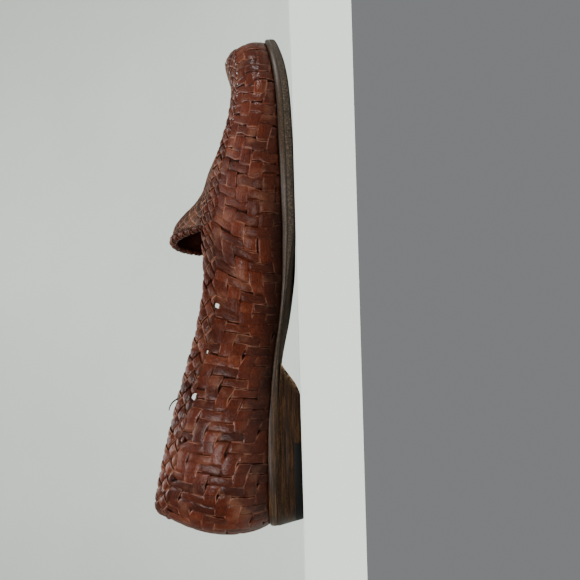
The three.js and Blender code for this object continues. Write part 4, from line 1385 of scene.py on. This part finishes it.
def build_heel():
    def top(s, y):
        return floor_of_sole(s, y) - LAYER_GAP

    def top_row(share):
        return lambda s, y: blend(top(s, y), MIDDLE_LIFT + LAYER_GAP, share)

    levels = [(top_row(share), 0.0, 0.0) for share in TOP_ROWS]
    levels = [(top, LAYER_INSET, 0.0), *levels, (constant(MIDDLE_LIFT + LAYER_GAP), LAYER_INSET, 0.0)]
    leather = (heel_finish, "heel_leather")
    heel_layer("heel_stack_top", breast_at, None, levels, *leather, "heel_lift_top", TICK_FROM)
    foot = TOP_PIECE + LAYER_GAP
    levels = flat_levels((
        (MIDDLE_LIFT, LAYER_INSET, 0.0), (MIDDLE_LIFT - LAYER_ROUND, 0.0, 0.0),
        (foot + LAYER_ROUND, 0.0, 0.0), (foot, LAYER_INSET, 0.0),
    ))
    heel_layer("heel_stack_middle", breast_at, None, levels, *leather, "heel_lift_middle")
    levels = flat_levels(((TOP_PIECE, LAYER_INSET, 0.0), (TOP_PIECE - LAYER_ROUND, 0.0, 0.0), *LEATHER_WEAR))
    heel_layer("heel_front_leather", breast_at, RUBBER_FRONT + RUBBER_GAP, levels, *leather,
               "heel_piece_leather")
    heel_layer("heel_rear_rubber", lambda height, side: RUBBER_FRONT, None, flat_levels(RUBBER_ROWS),
               rubber_finish, "heel_rubber", "heel_piece_rubber")


upright_strips()
lengthwise_strips()
rim_braid()
tab_braid()
apron_weave()
lining()
build_outsole()
build_insole()
build_heel()

# Studio, in metres: a pale floor that curves up behind the shoe
FLOOR_REACH = 4.0
FLOOR_CURVE = 0.7  # the floor starts to curve this far behind the shoe
FLOOR_RADIUS = 0.8


def studio():
    n = Nodes("pale floor")
    mottle = n.noise(n.place(), 3.0)
    n.set(Base_Color=n.ramp(mottle, (0.3, tint(188, 195, 187)), (0.7, tint(196, 202, 194))), Roughness=0.75)
    turn = np.linspace(0, math.pi / 2, 25)
    run = [(-FLOOR_REACH, 0.0)]
    run += [(FLOOR_CURVE + FLOOR_RADIUS * math.sin(a), FLOOR_RADIUS * (1 - math.cos(a))) for a in turn]
    run += [(FLOOR_CURVE + FLOOR_RADIUS, FLOOR_REACH)]
    points = [(x, y, z) for y, z in run for x in (-FLOOR_REACH, FLOOR_REACH)]
    faces = [(2 * i, 2 * i + 1, 2 * i + 3, 2 * i + 2) for i in range(len(run) - 1)]
    mesh = bpy.data.meshes.new("floor")
    mesh.from_pydata(points, [], faces, shade_flat=False)
    mesh.materials.append(n.material)
    floor = add_object("floor", mesh)


def lamp(name, place, target, size, power):
    light = bpy.data.lights.new(name, "AREA")
    light.shape = "RECTANGLE"
    light.size, light.size_y = size
    light.energy = power
    lamp_object = add_object(name, light)
    lamp_object.location = place
    lamp_object.rotation_euler = (Vector(target) - Vector(place)).to_track_quat("-Z", "Y").to_euler()


studio()
lamp("key", (-0.16, -0.6, 1.2), (0, 0, 0.03), (0.5, 0.4), 10.5)
lamp("heel side", (-0.42, -1.03, 0.46), (-0.09, 0, 0.04), (0.2, 0.16), 8.5)
lamp("toe side", (1.05, -0.26, 0.5), (0.12, 0, 0.03), (0.24, 0.2), 8)
lamp("overhead", (-0.1, 0.3, 1.7), (0, 0, 0), (1.2, 0.8), 24)
lamp("backdrop", (0.0, 0.3, 2.2), (0, 1.5, 0.6), (2.0, 0.8), 30)

world = bpy.data.worlds.new("soft room")
world.use_nodes = True
background = world.node_tree.nodes["Background"]
background.inputs["Color"].default_value = (0.86, 0.88, 0.9, 1)
background.inputs["Strength"].default_value = 0.24
bpy.context.scene.world = world

# Camera: just above the floor at the shoe's inner side, tilted up a little, rolled so that the toe points up
VIEW_DISTANCE = 0.48
VIEW_SPAN = 0.352  # width of the picture at the shoe's middle plane
VIEW_STATION = 145.6
VIEW_HEIGHT = 0.0008
AIM_HEIGHT = 0.0044  # height at the shoe's middle plane that the camera looks at
VIEW_ROLL = math.radians(90 + 1.62)
camera_data = bpy.data.cameras.new("camera")
camera_data.sensor_fit = "HORIZONTAL"
camera_data.angle = 2 * math.atan(VIEW_SPAN / 2 / VIEW_DISTANCE)
camera_data.clip_start = 0.01
camera = add_object("camera", camera_data)
look = Matrix.Rotation(math.pi / 2 + math.atan((AIM_HEIGHT - VIEW_HEIGHT) / VIEW_DISTANCE), 4, "X")
roll = Matrix.Rotation(-VIEW_ROLL, 4, "Z")
spot = Matrix.Translation(((VIEW_STATION + SHIFT[0]) / 1000, -VIEW_DISTANCE, VIEW_HEIGHT))
camera.matrix_world = spot @ look @ roll
bpy.context.scene.camera = camera
